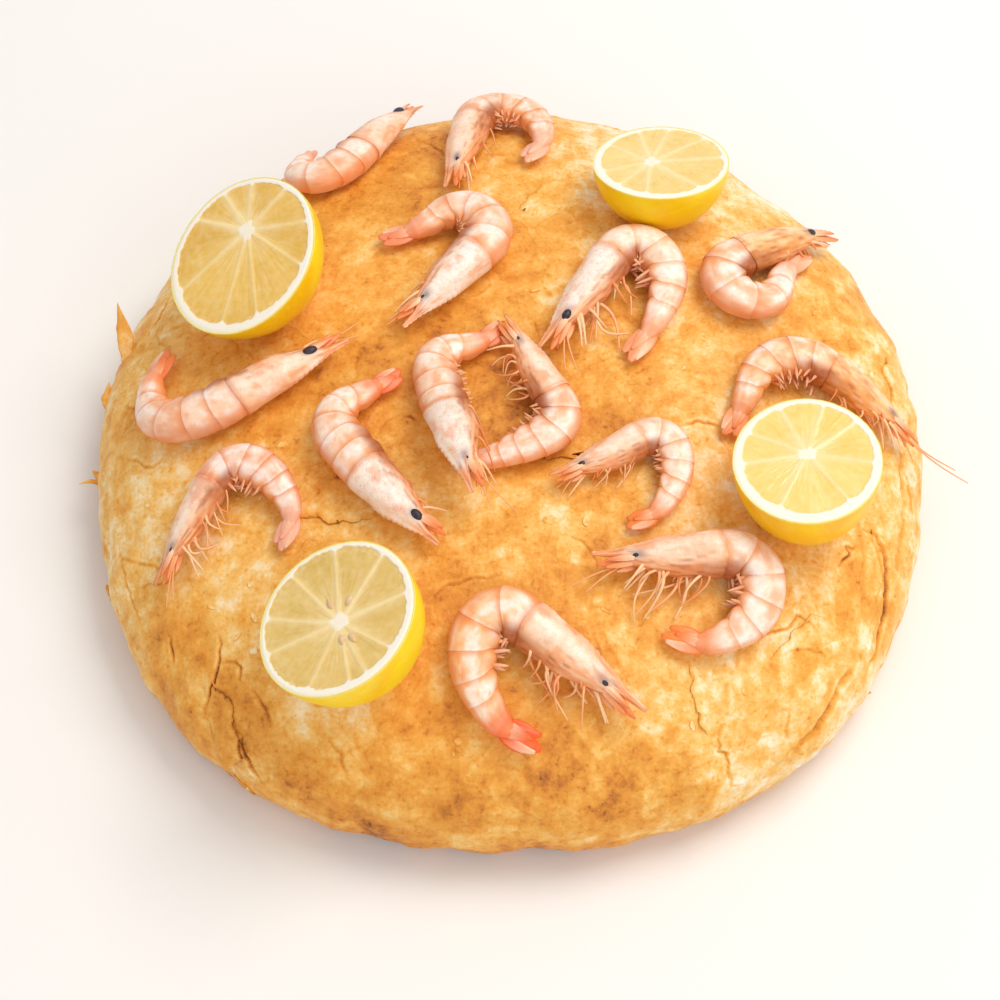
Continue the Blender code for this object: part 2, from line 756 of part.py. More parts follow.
def add_swimmerets(shape, collection):
    """Fringe of short paddles under the first segments."""
    rings = []
    for share, paddle in SWIMMERETS:
        depth, width = section_at(share)
        bend_radius = float(np.interp(share, shape.share, shape.bend_radius))
        inner = min(0.5 * depth * shape.girth, 0.80 * bend_radius)
        reach = min(paddle * shape.scale, max(0.0006, 0.6 * (bend_radius - inner)))
        middle = shape.rise(share, width * shape.girth)
        half = 0.26 * width * shape.girth
        rings.append(np.array([
            shape.place(share, -0.6 * inner, middle - half),
            shape.place(share, -inner - reach, middle - 0.4 * half),
            shape.place(share, -inner - reach, middle + 0.4 * half),
            shape.place(share, -0.6 * inner, middle + half),
        ]))
    loft("swimmerets", rings, collection)


def build_shrimp(name, pose, parts):
    """One shrimp as a single solid."""
    shape = ShrimpShape(pose)
    pieces = working_collection(name)
    add_body(shape, pieces)
    add_fan(shape, pieces)
    add_eyes(shape, pieces)
    add_legs(shape, pieces)
    add_swimmerets(shape, pieces)
    return fused(name, pieces, food_material(name + "_shell", (0.86, 0.50, 0.36), 0.35), parts)


def build_lemon(name, pose, parts):
    """Thick lemon piece: an oval turned shape with a flat cut face, tapering to its resting end."""
    depth = pose.depth * MM
    profile = [(0.0, 0.0), (1.0 - LEMON_EDGE / LEMON_MEAN_RADIUS, 0.0), (1.0, -LEMON_EDGE)]
    for sunk in (0.50, 0.90):
        profile.append((math.sqrt(1.0 - (LEMON_TAPER * sunk) ** 2), -depth * sunk))
    profile.append((LEMON_FOOT * math.sqrt(1.0 - LEMON_TAPER**2), -depth))
    profile.append((0.0, -depth))
    mesh = bpy.data.meshes.new(name)
    mesh.from_pydata([(radius, 0.0, height) for radius, height in profile],
                     [(index, index + 1) for index in range(len(profile) - 1)], [])
    lemon = new_object(name, mesh, parts)
    screw = lemon.modifiers.new("turn", "SCREW")
    screw.axis = "Z"
    screw.angle = 2.0 * math.pi
    screw.steps = LEMON_STEPS
    screw.render_steps = LEMON_STEPS
    screw.use_merge_vertices = True
    screw.merge_threshold = 0.0001
    lemon = baked(lemon, parts)
    seat_lemon(lemon, pose)
    lemon.data.materials.append(food_material(name + "_rind", (0.90, 0.72, 0.10), 0.40))
    return lemon


def seat_lemon(lemon, pose):
    """Give the lemon piece its oval size and its tilt, and lower it until it rests on the crown."""
    x = pose.x * MM
    y = pose.y * MM
    normal = CROWN.normal(x, y)
    lean = math.radians(pose.lean)
    tilt = math.radians(pose.tilt)
    axis = np.array([
        -math.sin(lean),
        -math.sin(tilt) * math.cos(lean),
        math.cos(tilt) * math.cos(lean),
    ])
    wide = np.cross(np.array([0.0, 1.0, 0.0]), axis)
    wide = wide / np.linalg.norm(wide)
    long = np.cross(axis, wide)
    turn = math.radians(pose.turn)
    first = (wide * math.cos(turn) + long * math.sin(turn)) * pose.half_width * MM
    second = (-wide * math.sin(turn) + long * math.cos(turn)) * pose.half_length * MM
    local = np.array([tuple(vertex.co) for vertex in lemon.data.vertices])
    placed = local[:, :1] * first + local[:, 1:2] * second + local[:, 2:] * axis
    placed = placed + CROWN.point(x, y)
    low, high = SEAT_SEARCH
    while high - low > 0.00001:
        middle = 0.5 * (low + high)
        if CROWN.clearance(placed + middle * normal).min() > RESTING_GAP:
            high = middle
        else:
            low = middle
    placed = placed + high * normal
    for vertex, point in zip(lemon.data.vertices, placed):
        vertex.co = Vector(point)


def main():
    """Build the pie, its shrimps and its lemons."""
    for thing in list(bpy.data.objects):
        bpy.data.objects.remove(thing)
    parts = bpy.data.collections.new("fish_pastilla")
    bpy.context.scene.collection.children.link(parts)
    build_crust(parts)
    for number, pose in enumerate(SHRIMPS, start=1):
        build_shrimp("shrimp_%02d" % number, pose, parts)
    for number, pose in enumerate(LEMONS, start=1):
        build_lemon("lemon_piece_%d" % number, pose, parts)


main()
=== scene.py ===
"""Looks of a fish pastilla: baked pastry sheets, fourteen boiled shrimps and four cut lemon pieces.

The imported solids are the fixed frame. Each visible piece is a surface worked out with numpy on the
same crown and the same centre lines that the solids follow, and rides on the one body "root".
Metres, +Z up. A place on the crown is (x, y), walked along its surface from the top of the dome.
"""

import logging
import math
from dataclasses import dataclass, field
from enum import Enum
from functools import partial

import bpy
import numpy as np
from mathutils import Matrix, Vector


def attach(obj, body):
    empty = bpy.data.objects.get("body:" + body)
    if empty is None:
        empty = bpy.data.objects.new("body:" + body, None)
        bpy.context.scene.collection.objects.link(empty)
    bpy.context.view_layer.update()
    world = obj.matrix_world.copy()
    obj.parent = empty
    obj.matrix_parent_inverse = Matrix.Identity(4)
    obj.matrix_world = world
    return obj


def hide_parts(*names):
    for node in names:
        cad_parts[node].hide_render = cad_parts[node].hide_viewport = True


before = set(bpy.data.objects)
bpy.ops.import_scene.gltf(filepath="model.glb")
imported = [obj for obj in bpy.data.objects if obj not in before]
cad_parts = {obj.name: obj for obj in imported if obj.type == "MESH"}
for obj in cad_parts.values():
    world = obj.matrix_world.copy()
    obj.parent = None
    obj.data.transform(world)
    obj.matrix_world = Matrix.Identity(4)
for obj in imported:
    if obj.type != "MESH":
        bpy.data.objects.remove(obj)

LOG = logging.getLogger("pastilla")
Array = np.ndarray
Material, Piece = bpy.types.Material, bpy.types.Object
Tree, Node, Socket = bpy.types.NodeTree, bpy.types.Node, bpy.types.NodeSocket
MM = 0.001
FULL_TURN = 2.0 * math.pi
LATTICE = 128
BODY = "root"
# The second colour browns the fibres of the shrimps' heads and is the painted shade in the hollow behind
# their heads.
SHELL_WHITE, FIBRE_BROWN_AND_HOLLOW_SHADE = "#fff1e8", "#9c481c"


def linear(color: str | Array) -> Array:
    """Linear red, green and blue of a colour.

    Args:
        color: sRGB hex colour, or linear numbers, which stay as they are.

    Returns:
        Linear numbers, with a last axis of 3.
    """
    if not isinstance(color, str):
        return color
    parts = np.array([int(color[i : i + 2], 16) for i in (1, 3, 5)]) / 255.0
    return np.where(parts <= 0.04045, parts / 12.92, ((parts + 0.055) / 1.055) ** 2.4)


def blend(base: str | Array, *coats: tuple) -> Array:
    """A colour under coats, one after the other: base * (1 - share) + colour * share.

    Args:
        base: Colour at the bottom.
        *coats: A colour and its share of the mix at each place.

    Returns:
        Linear colour of each place.
    """
    base = linear(base)
    for color, share in coats:
        share = np.clip(share, 0.0, 1.0)[..., None]
        base = base * (1.0 - share) + linear(color) * share
    return base


def ease(value: Array, start: float = 0.0, span: float = 1.0) -> Array:
    """Smooth step: 3v^2 - 2v^3 of v = (value - start) / span, held between 0 and 1."""
    value = np.clip((value - start) / span, 0.0, 1.0)
    return value * value * (3.0 - 2.0 * value)


def bell(value: Array, middle: float, width: float) -> Array:
    """Bell curve: 1 at the middle, falling as exp(-(distance / width)^2)."""
    return np.exp(-(((value - middle) / width) ** 2))


def unit(vectors: Array) -> Array:
    """Vectors made one long."""
    return vectors / np.maximum(np.linalg.norm(vectors, axis=-1, keepdims=True), 1e-15)


def turns(count: int) -> Array:
    """Directions spread evenly round a full turn, as one row."""
    return FULL_TURN * np.arange(count)[None, :] / count


def shares(count: int) -> Array:
    """Numbers from 0 to 1, as one column."""
    return np.linspace(0.0, 1.0, count)[:, None]


def stacked(*parts: Array, axis: int = -1) -> Array:
    """Arrays brought to one shape and put side by side along a new axis."""
    return np.stack(np.broadcast_arrays(*parts), axis=axis)


def rotate(x: Array, y: Array, angle: Array) -> tuple[Array, Array]:
    """Places or axes turned counter-clockwise by an angle."""
    return x * np.cos(angle) - y * np.sin(angle), x * np.sin(angle) + y * np.cos(angle)


def polar(radius: Array, angle: Array, height: Array) -> Array:
    """Points from a distance to the middle, a direction and a height."""
    return stacked(*rotate(radius, 0.0, angle), height)


def lattice_noise(x: Array, y: Array, cell: float, seed: int) -> Array:
    """Smooth noise between -1 and 1, which repeats after 128 cells.

    Random heights on a square lattice, blended in each cell by 6t^5 - 15t^4 + 10t^3.

    Args:
        x: Places along the first axis, in metres.
        y: Places along the second axis, in metres.
        cell: Size of a lattice cell, in metres.
        seed: Seed of the heights.

    Returns:
        The noise at each place.
    """
    heights = np.random.default_rng(seed).uniform(-1.0, 1.0, (LATTICE, LATTICE))
    across, along = x / cell + LATTICE / 2, y / cell + LATTICE / 2
    column, row = np.floor(across).astype(int), np.floor(along).astype(int)
    u, v = (t * t * t * (t * (t * 6.0 - 15.0) + 10.0) for t in (across - column, along - row))
    column, row, right, above = (number % LATTICE for number in (column, row, column + 1, row + 1))
    low = heights[column, row] * (1.0 - u) + heights[right, row] * u
    high = heights[column, above] * (1.0 - u) + heights[right, above] * u
    return low * (1.0 - v) + high * v


def layered_noise(x: Array, y: Array, cell: float, seed: int, layers: int = 3) -> Array:
    """Noise with finer detail on it: each layer has half the cell and half the height of the last."""
    total = sum(0.5**n * lattice_noise(x, y, cell * 0.5**n, seed + n) for n in range(layers))
    return total / (2.0 - 0.5 ** (layers - 1))


def soften(points: Array, cuts: int) -> Array:
    """Path with its corners cut: each cut replaces a span by its points at one and three quarters.

    Args:
        points: Corners of the path, (n, k).
        cuts: How often the corners are cut.

    Returns:
        The rounder path.
    """
    for _ in range(cuts):
        first, second = points[:-1], points[1:]
        cut = np.stack([0.75 * first + 0.25 * second, 0.25 * first + 0.75 * second], axis=1)
        points = np.concatenate([points[:1], cut.reshape(-1, points.shape[1]), points[-1:]])
    return points


def strand_rings(points: Array, radii: Array) -> Array:
    """Circular sections along a path: point + radius * (cos a * u + sin a * v), square to it.

    Args:
        points: Path, (n, 3).
        radii: Radius at each point, (n,).

    Returns:
        Rings, (n, 8, 3).
    """
    ahead = unit(np.gradient(points, axis=0))
    u = unit(np.cross(ahead, np.array([0.08, 0.05, 1.0])))
    turn = turns(8)[0][:, None]
    circle = np.cos(turn) * u[:, None] + np.sin(turn) * np.cross(ahead, u)[:, None]
    return points[:, None] + radii[:, None, None] * circle


def ring_quads(rings: int, sides: int) -> Array:
    """Faces between closed rings of points that follow one another.

    Args:
        rings: Number of rings.
        sides: Points in a ring.

    Returns:
        Four point numbers for each face.
    """
    here = np.arange((rings - 1) * sides).reshape(rings - 1, sides)
    beside = np.roll(here, -1, axis=1)
    return np.stack([here, beside, beside + sides, here + sides], axis=-1).reshape(-1, 4)


def ring_fan(hub: int, start: int, sides: int) -> Array:
    """Triangles between a hub and the ring that starts at a point number."""
    side = start + np.arange(sides)
    return np.stack([np.full(sides, hub), np.roll(side, -1), side], axis=-1)


def new_piece(name: str, node: str, slot: str, finishes: list, points: Array, faces: list,
              **layers: Array) -> Piece:
    """Smooth-shaded piece from whole arrays, which replaces a node of the frame.

    Args:
        name: Name of the object and its mesh.
        node: Node that the piece stands for.
        slot: Material slot of the record; not used.
        finishes: Materials, in the order of their numbers.
        points: Vertices, (n, 3).
        faces: Blocks of faces of one size, each with vertex numbers, (n, corners).
        **layers: Number or colour of each vertex, by the name of its attribute.

    Returns:
        The piece, linked into the scene and riding on the body.
    """
    mesh = bpy.data.meshes.new(name)
    sizes = np.concatenate([np.full(len(block), block.shape[1]) for block in faces])
    corners = np.concatenate([block.ravel() for block in faces])
    mesh.vertices.add(len(points))
    mesh.vertices.foreach_set("co", points.astype(np.float32).ravel())
    mesh.loops.add(len(corners))
    mesh.loops.foreach_set("vertex_index", corners.astype(np.int32))
    mesh.polygons.add(len(sizes))
    mesh.polygons.foreach_set("loop_start", (np.cumsum(sizes) - sizes).astype(np.int32))
    mesh.update(calc_edges=True)
    mesh.polygons.foreach_set("use_smooth", np.ones(len(sizes), bool))
    for label, values in layers.items():
        if values.ndim == 1:
            mesh.attributes.new(label, "FLOAT", "POINT").data.foreach_set("value", values.astype(np.float32))
        else:
            opaque = np.column_stack([values, np.ones(len(values))]).astype(np.float32)
            mesh.color_attributes.new(label, "FLOAT_COLOR", "POINT").data.foreach_set("color", opaque.ravel())
    for finish in finishes:
        mesh.materials.append(finish)
    piece = bpy.data.objects.new(name, mesh)
    bpy.context.scene.collection.objects.link(piece)
    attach(piece, BODY)
    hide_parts(node)
    LOG.info("%s: %d faces", name, len(sizes))
    return piece


@dataclass
class MeshDraft:
    """Closed surfaces gathered into one mesh, each vertex with a tint and a level."""

    points: list = field(default_factory=list)
    tints: list = field(default_factory=list)
    levels: list = field(default_factory=list)
    faces: list = field(default_factory=list)
    finishes: list = field(default_factory=list)
    count: int = 0

    def tube(self, rings: Array, tint: Array, level: Array = 0.0, finish: Array = 0) -> None:
        """Adds a closed surface through rings, each end closed by a fan round its middle.

        Its faces are turned outwards by the sign of the volume that they enclose.

        Args:
            rings: Points, (stations, sides, 3).
            tint: Linear colour of each point, or one colour.
            level: Speckle or bake of each point, or one value.
            finish: Material number of each band between rings, or one number.
        """
        stations, sides, _ = rings.shape
        hub, last = stations * sides, (stations - 1) * sides
        points = np.concatenate([rings.reshape(-1, 3), rings[:1].mean(axis=1), rings[-1:].mean(axis=1)])
        bands = ring_quads(stations, sides)
        fans = [ring_fan(hub, 0, sides), ring_fan(hub + 1, last, sides)[:, [0, 2, 1]]]
        triangles = np.concatenate([bands[:, :3], bands[:, [0, 2, 3]], *fans])
        a, b, c = (points[triangles[:, corner]] - points.mean(axis=0) for corner in range(3))
        inward = np.einsum("ij,ij->", a, np.cross(b, c)) < 0.0
        self.faces += [(block[:, ::-1] if inward else block) + self.count for block in (bands, *fans)]
        numbers = np.repeat(np.broadcast_to(finish, stations - 1), sides)
        self.finishes += [numbers, numbers[:sides], numbers[-sides:]]
        colors = np.broadcast_to(tint, rings.shape).reshape(-1, 3)
        levels = np.broadcast_to(level, rings.shape[:2]).ravel()
        self.tints += [colors, colors[[0, last]]]
        self.levels += [levels, levels[[0, last]]]
        self.points.append(points)
        self.count += len(points)

    def bake(self, name: str, node: str, slot: str, finishes: list, level: str = "speckle") -> Piece:
        """Makes the gathered surfaces one piece.

        Args:
            name: Name of the piece.
            node: Node that it stands for.
            slot: Material slot of the record.
            finishes: Materials, in the order of their numbers.
            level: Name of the attribute that holds the levels.

        Returns:
            The piece.
        """
        layers = {"tint": np.concatenate(self.tints), level: np.concatenate(self.levels)}
        piece = new_piece(name, node, slot, finishes, np.concatenate(self.points), self.faces, **layers)
        piece.data.polygons.foreach_set("material_index", np.concatenate(self.finishes).astype(np.int32))
        return piece


def feed(tree: Tree, node: Node, inputs: dict) -> None:
    """Sets input sockets of a node, or links them.

    Args:
        tree: Tree of the node.
        node: Node that is fed.
        inputs: Input socket name or number to a value or an output socket.
    """
    for name, source in inputs.items():
        if isinstance(source, Socket):
            tree.links.new(source, node.inputs[name])
        else:
            node.inputs[name].default_value = source


def add_node(tree: Tree, kind: str, inputs: dict | None = None, output: int | str = 0,
             **settings: object) -> Socket:
    """Adds a node with its settings and links.

    Args:
        tree: Tree that gets the node.
        kind: Node type, without its ShaderNode.
        inputs: Input socket name or number to a value or an output socket.
        output: Name or number of the output socket that is wanted.
        **settings: Properties of the node.

    Returns:
        That output socket.
    """
    node = tree.nodes.new("ShaderNode" + kind)
    for name, value in settings.items():
        setattr(node, name, value)
    feed(tree, node, inputs or {})
    return node.outputs[output]


def new_material(name: str) -> tuple[Material, Tree, Node]:
    """Makes a material.

    Args:
        name: Name of the material.

    Returns:
        The material, its tree and its Principled shader.
    """
    material = bpy.data.materials.new(name)
    material.use_nodes = True
    return material, material.node_tree, material.node_tree.nodes["Principled BSDF"]


@dataclass(frozen=True)
class BakedPastry:
    """Thin wheat sheets brushed with butter and egg and baked: satin, golden, mottled brown.

    The bake attribute holds where it browned, with painted shade in cracks, creases and at sheet steps
    and a left side painted paler as light; two grains a few millimetres across, as of the tiny blisters
    of the sheets, break it up.
    """

    ramp: tuple = (
        (0.00, "#fcf0d8"), (0.16, "#fadfae"), (0.32, "#f5c26c"), (0.48, "#eca745"),
        (0.64, "#de9033"), (0.82, "#b66c28"), (1.00, "#70401b"),
    )
    grain_mm: float = 1.3
    mottle_mm: float = 4.0
    speck_mm: float = 2.2
    roughness: float = 0.50

    def make(self) -> Material:
        """Builds the material: colour of bake + 0.34 grain + 0.40 mottle - 0.37 + specks above 0.58.

        Returns:
            The material.
        """
        material, tree, shader = new_material("baked_pastry")
        place = add_node(tree, "TexCoord", output="Object")
        sizes = ((self.grain_mm, 3.0, 0.6), (self.mottle_mm, 3.0, 0.6), (self.speck_mm, 2.0, 0.5))
        noises = ({"Vector": place, "Scale": 1.0 / (size * MM), "Detail": detail, "Roughness": rough}
                  for size, detail, rough in sizes)
        grain, mottle, pit = (add_node(tree, "TexNoise", noise) for noise in noises)
        baked = add_node(tree, "Attribute", output="Fac", attribute_name="bake")
        total = add_node(tree, "MapRange", {0: pit, 1: 0.58, 2: 1.0, 3: -0.37, 4: 0.42 - 0.37})
        for source, share in ((baked, 1.0), (grain, 0.34), (mottle, 0.40)):
            total = add_node(tree, "Math", {0: source, 1: share, 2: total}, operation="MULTIPLY_ADD")
        color = add_node(tree, "ValToRGB", {"Fac": total})
        stops = color.node.color_ramp.elements
        for index, (share, code) in enumerate(self.ramp):
            stop = stops[index] if index < 2 else stops.new(share)
            stop.position, stop.color = share, (*linear(code), 1.0)
        gloss = add_node(tree, "Math", {0: mottle, 1: 0.3, 2: self.roughness - 0.15},
                         operation="MULTIPLY_ADD")
        height = add_node(tree, "Math", {0: mottle, 1: 1.5, 2: grain}, operation="MULTIPLY_ADD")
        feed(tree, shader, {
            "Base Color": color,
            "Roughness": gloss,
            "Normal": add_node(tree, "Bump", {"Strength": 0.55, "Distance": 0.0005, "Height": height}),
            "IOR": 1.45,
            "Specular IOR Level": 0.35,
            "Subsurface Weight": 0.06,
            "Subsurface Radius": (0.002, 0.001, 0.0005),
        })
        return material


@dataclass(frozen=True)
class TintedFlesh:
    """Food whose colour varies over it: the tint attribute, mottled and speckled.

    Light enters the first millimetres, which softens its shadows, and a wet film gives the gloss.
    """

    name: str
    roughness: float
    coat: float
    depth_mm: float
    subsurface: float
    mottle_mm: float
    mottle_color: str
    mottle_share: float
    bump_mm: float
    bump_grain_mm: float = 0.8
    speck_mm: float = 0.7
    speck_color: str = "#857472"

    def make(self) -> Material:
        """Builds the material: tint, then the mottle above 0.42 of its noise, then specks above 0.62.

        Returns:
            The material.
        """
        material, tree, shader = new_material(self.name)
        place = add_node(tree, "TexCoord", output="Object")
        sizes = ((self.mottle_mm, 3.0, 0.6), (self.speck_mm, 1.0, 0.5), (self.bump_grain_mm, 2.0, 0.6))
        noises = ({"Vector": place, "Scale": 1.0 / (size * MM), "Detail": detail, "Roughness": rough}
                  for size, detail, rough in sizes)
        mottle, dots, grain = (add_node(tree, "TexNoise", noise) for noise in noises)
        color = add_node(tree, "Attribute", output="Color", attribute_name="tint")
        speckle = add_node(tree, "Attribute", output="Fac", attribute_name="speckle")
        patchy = 0.58 * 4.0 * self.mottle_share
        patches = add_node(tree, "MapRange", {0: mottle, 1: 0.42, 2: 1.0, 4: patchy})
        specks = add_node(tree, "MapRange", {0: dots, 1: 0.62, 2: 1.0, 4: 0.38 * 8.0})
        specks = add_node(tree, "Math", {0: specks, 1: speckle}, operation="MULTIPLY")
        for share, code in ((patches, self.mottle_color), (specks, self.speck_color)):
            coat = (*linear(code), 1.0)
            color = add_node(tree, "Mix", {0: share, 6: color, 7: coat}, 2, data_type="RGBA")
        gloss = add_node(tree, "Math", {0: mottle, 1: 0.2, 2: self.roughness - 0.1},
                         operation="MULTIPLY_ADD")
        bump = add_node(tree, "Bump", {"Strength": 0.6, "Distance": self.bump_mm * MM, "Height": grain})
        feed(tree, shader, {
            "Base Color": color,
            "Roughness": gloss,
            "Normal": bump,
            "IOR": 1.40,
            "Coat Weight": self.coat,
            "Coat Roughness": 0.22,
            "Subsurface Weight": self.subsurface,
            "Subsurface Radius": tuple(share * self.depth_mm * MM for share in (1.0, 0.45, 0.3)),
        })
        return material


@dataclass
class Crown:
    """The smooth top of the pie, walked along its surface from the top of the dome."""

    radius: float = 0.160
    height: float = 0.068
    rim_height: float = 0.018
    base_share: float = 0.93
    power: float = 3.0
    straight_share: float = 0.92
    step: float = 0.0004
    lobes: tuple = ((2, -0.017, 0.0), (3, 0.0, -0.008), (4, -0.0085, 0.0), (5, 0.0, 0.008))

    def __post_init__(self) -> None:
        """Tables of the walked length against the share of the rim radius."""
        self.shares = np.sin(np.linspace(0.0, math.pi / 2, 2001)) ** 0.9
        steps = np.hypot(np.diff(self.shares) * self.radius, np.diff(self.top(self.shares)))
        self.walked = np.concatenate([[0.0], np.cumsum(steps)])
        self.limit = float(np.interp(self.straight_share, self.shares, self.walked))
        rise = -(self.height - self.rim_height) * 0.5 * self.power * self.straight_share ** (self.power - 1)
        self.outward = unit(np.array([self.radius, rise / math.sqrt(1.0 - self.straight_share**self.power)]))

    def rim_factor(self, angle: Array) -> Array:
        """Share of the mean radius reached in a direction: 1 plus the lobes' waves."""
        return 1.0 + sum(c * np.cos(n * angle) + s * np.sin(n * angle) for n, c, s in self.lobes)

    def top(self, share: Array) -> Array:
        """Height: rim + (top - rim) * sqrt(1 - share^power)."""
        arch = np.sqrt(np.maximum(0.0, 1.0 - share**self.power))
        return self.rim_height + (self.height - self.rim_height) * arch

    def share_at(self, walk: Array) -> Array:
        """Share of the rim radius after a walk from the top, 1 past the rim."""
        return np.interp(walk, self.walked, self.shares)

    def point(self, x: Array, y: Array) -> Array:
        """Place after walking hypot(x, y) from the top, straight on where the crown gets steep.

        Args:
            x: Places, in metres walked.
            y: Places, in metres walked.

        Returns:
            Points, with a last axis of 3.
        """
        walk, angle = np.hypot(x, y), np.arctan2(y, x)
        kept = np.minimum(walk, self.limit)
        share = self.share_at(kept)
        radius = (share * self.radius + (walk - kept) * self.outward[0]) * self.rim_factor(angle)
        return polar(radius, angle, self.top(share) + (walk - kept) * self.outward[1])

    def normal(self, x: Array, y: Array) -> Array:
        """Unit normal: cross product of two short steps along the surface."""
        along_x = self.point(x + self.step, y) - self.point(x - self.step, y)
        return unit(np.cross(along_x, self.point(x, y + self.step) - self.point(x, y - self.step)))

    def drape(self, x: Array, y: Array, rise: Array) -> Array:
        """Place that stands a rise above the surface."""
        return self.point(x, y) + rise[..., None] * self.normal(x, y)

    def clearance(self, points: Array) -> Array:
        """Height above the crown taken square to it: height difference / sqrt(1 + slope^2).

        Args:
            points: Points, with a last axis of 3.

        Returns:
            Heights.
        """
        x, y, height = np.moveaxis(points, -1, 0)
        share = np.minimum(np.hypot(x, y) / (self.radius * self.rim_factor(np.arctan2(y, x))), 0.995)
        slope = (self.height - self.rim_height) / self.radius * 0.5 * self.power * share**2
        slope = slope / np.sqrt(1.0 - share**self.power)
        return (height - self.top(share)) / np.sqrt(1.0 + slope**2)


@dataclass(frozen=True)
class TornSheet:
    """A torn edge of a pastry sheet: middle of the edge, the way it faces, its size, in mm."""

    x: float
    y: float
    facing: float
    width: float
    reach: float

    def window(self, x: Array, y: Array) -> Array:
        """How much places lie near the edge: exp(-across^4) * exp(-ahead^2).

        Args:
            x: Places, in metres walked.
            y: Places, in metres walked.

        Returns:
            From 0, far, to 1, at the edge.
        """
        reach = self.reach * MM
        ahead, across = rotate(x - self.x * MM, y - self.y * MM, -math.radians(self.facing))
        return np.exp(-((across / (0.62 * self.width * MM)) ** 4)) * bell(ahead, -0.3 * reach, reach)


@dataclass(frozen=True)
class TornLine:
    """A crack or a torn edge, in mm: its corners, the drop of its right side, the depth of its gap."""

    corners: tuple
    drop: float = 0.0
    gap: float = 0.5
    dark: float = 0.30
    breadth: float = 0.45
    reach: float = 0.010
    stride: float = 0.0011
    jog: float = 0.0006
    jog_cell: float = 0.0023

    def path(self) -> Array:
        """Path in metres: corners joined straight, then jogged by smooth noise.

        Returns:
            Places, (n, 2).
        """
        corners = np.array(self.corners, float) * MM
        walked = np.concatenate([[0.0], np.cumsum(np.hypot(*np.diff(corners, axis=0).T))])
        along = np.linspace(0.0, walked[-1], max(6, int(walked[-1] / self.stride)))
        path = np.stack([np.interp(along, walked, column) for column in corners.T], axis=-1)
        seed = int(abs(sum(sum(corner) for corner in self.corners)))
        jogs = (lattice_noise(along, shift, self.jog_cell, seed) for shift in (0.0, 0.01))
        return path + self.jog * stacked(*jogs)

    def mark(self, x: Array, y: Array, height: Array, tone: Array) -> None:
        """Cuts the line into the crust: a groove with lifted, paler lips, one side lower. The groove is
        darker, its browned edges with painted shade in it, and painted shade lies on the lower side by the
        step.

        Groove = gap * exp(-(distance / breadth)^2), and the drop fades over some millimetres.

        Args:
            x: Places, in metres.
            y: Places, in metres.
            height: Relief, changed in place.
            tone: Bake, changed in place.
        """
        path = self.path()
        low, high = path.min(axis=0) - self.reach, path.max(axis=0) + self.reach
        close = (x > low[0]) & (x < high[0]) & (y > low[1]) & (y < high[1])
        place, spans = stacked(x[close], y[close]), np.diff(path, axis=0)
        offset = place[:, None] - path[None, :-1]
        share = np.clip((offset * spans).sum(-1) / (spans**2).sum(-1), 0.0, 1.0)
        apart = offset - share[..., None] * spans
        away = np.hypot(apart[..., 0], apart[..., 1])
        nearest, row = away.argmin(axis=1), np.arange(len(place))
        distance, apart, share = away[row, nearest], apart[row, nearest], share[row, nearest]
        right = spans[nearest, 0] * apart[:, 1] - spans[nearest, 1] * apart[:, 0] < 0.0
        ends = np.sin(math.pi * np.clip((nearest + share) / len(spans), 0.03, 0.97)) ** 0.5
        groove = ends * bell(distance, 0.0, self.breadth * MM)
        lower = right * ends * bell(distance, 0.0, 0.0045)
        lip = ends * bell(distance, (self.breadth + 0.8) * MM, 0.0007)
        height[close] += MM * (0.18 * self.gap * lip - self.gap * groove - self.drop * lower)
        # Darker groove: browned edges and painted shade; darker lower side beside the step: painted shade.
        tone[close] += 1.35 * self.dark * groove - 0.30 * self.dark * lip + 0.12 * self.drop * lower


@dataclass(frozen=True)
class Flake:
    """A curled flake on the flank: where it springs from, its size in mm and how far it opens."""

    angle: float
    height: float
    length: float
    width: float
    opening: float
    lean: float
    twist: float = 0.0


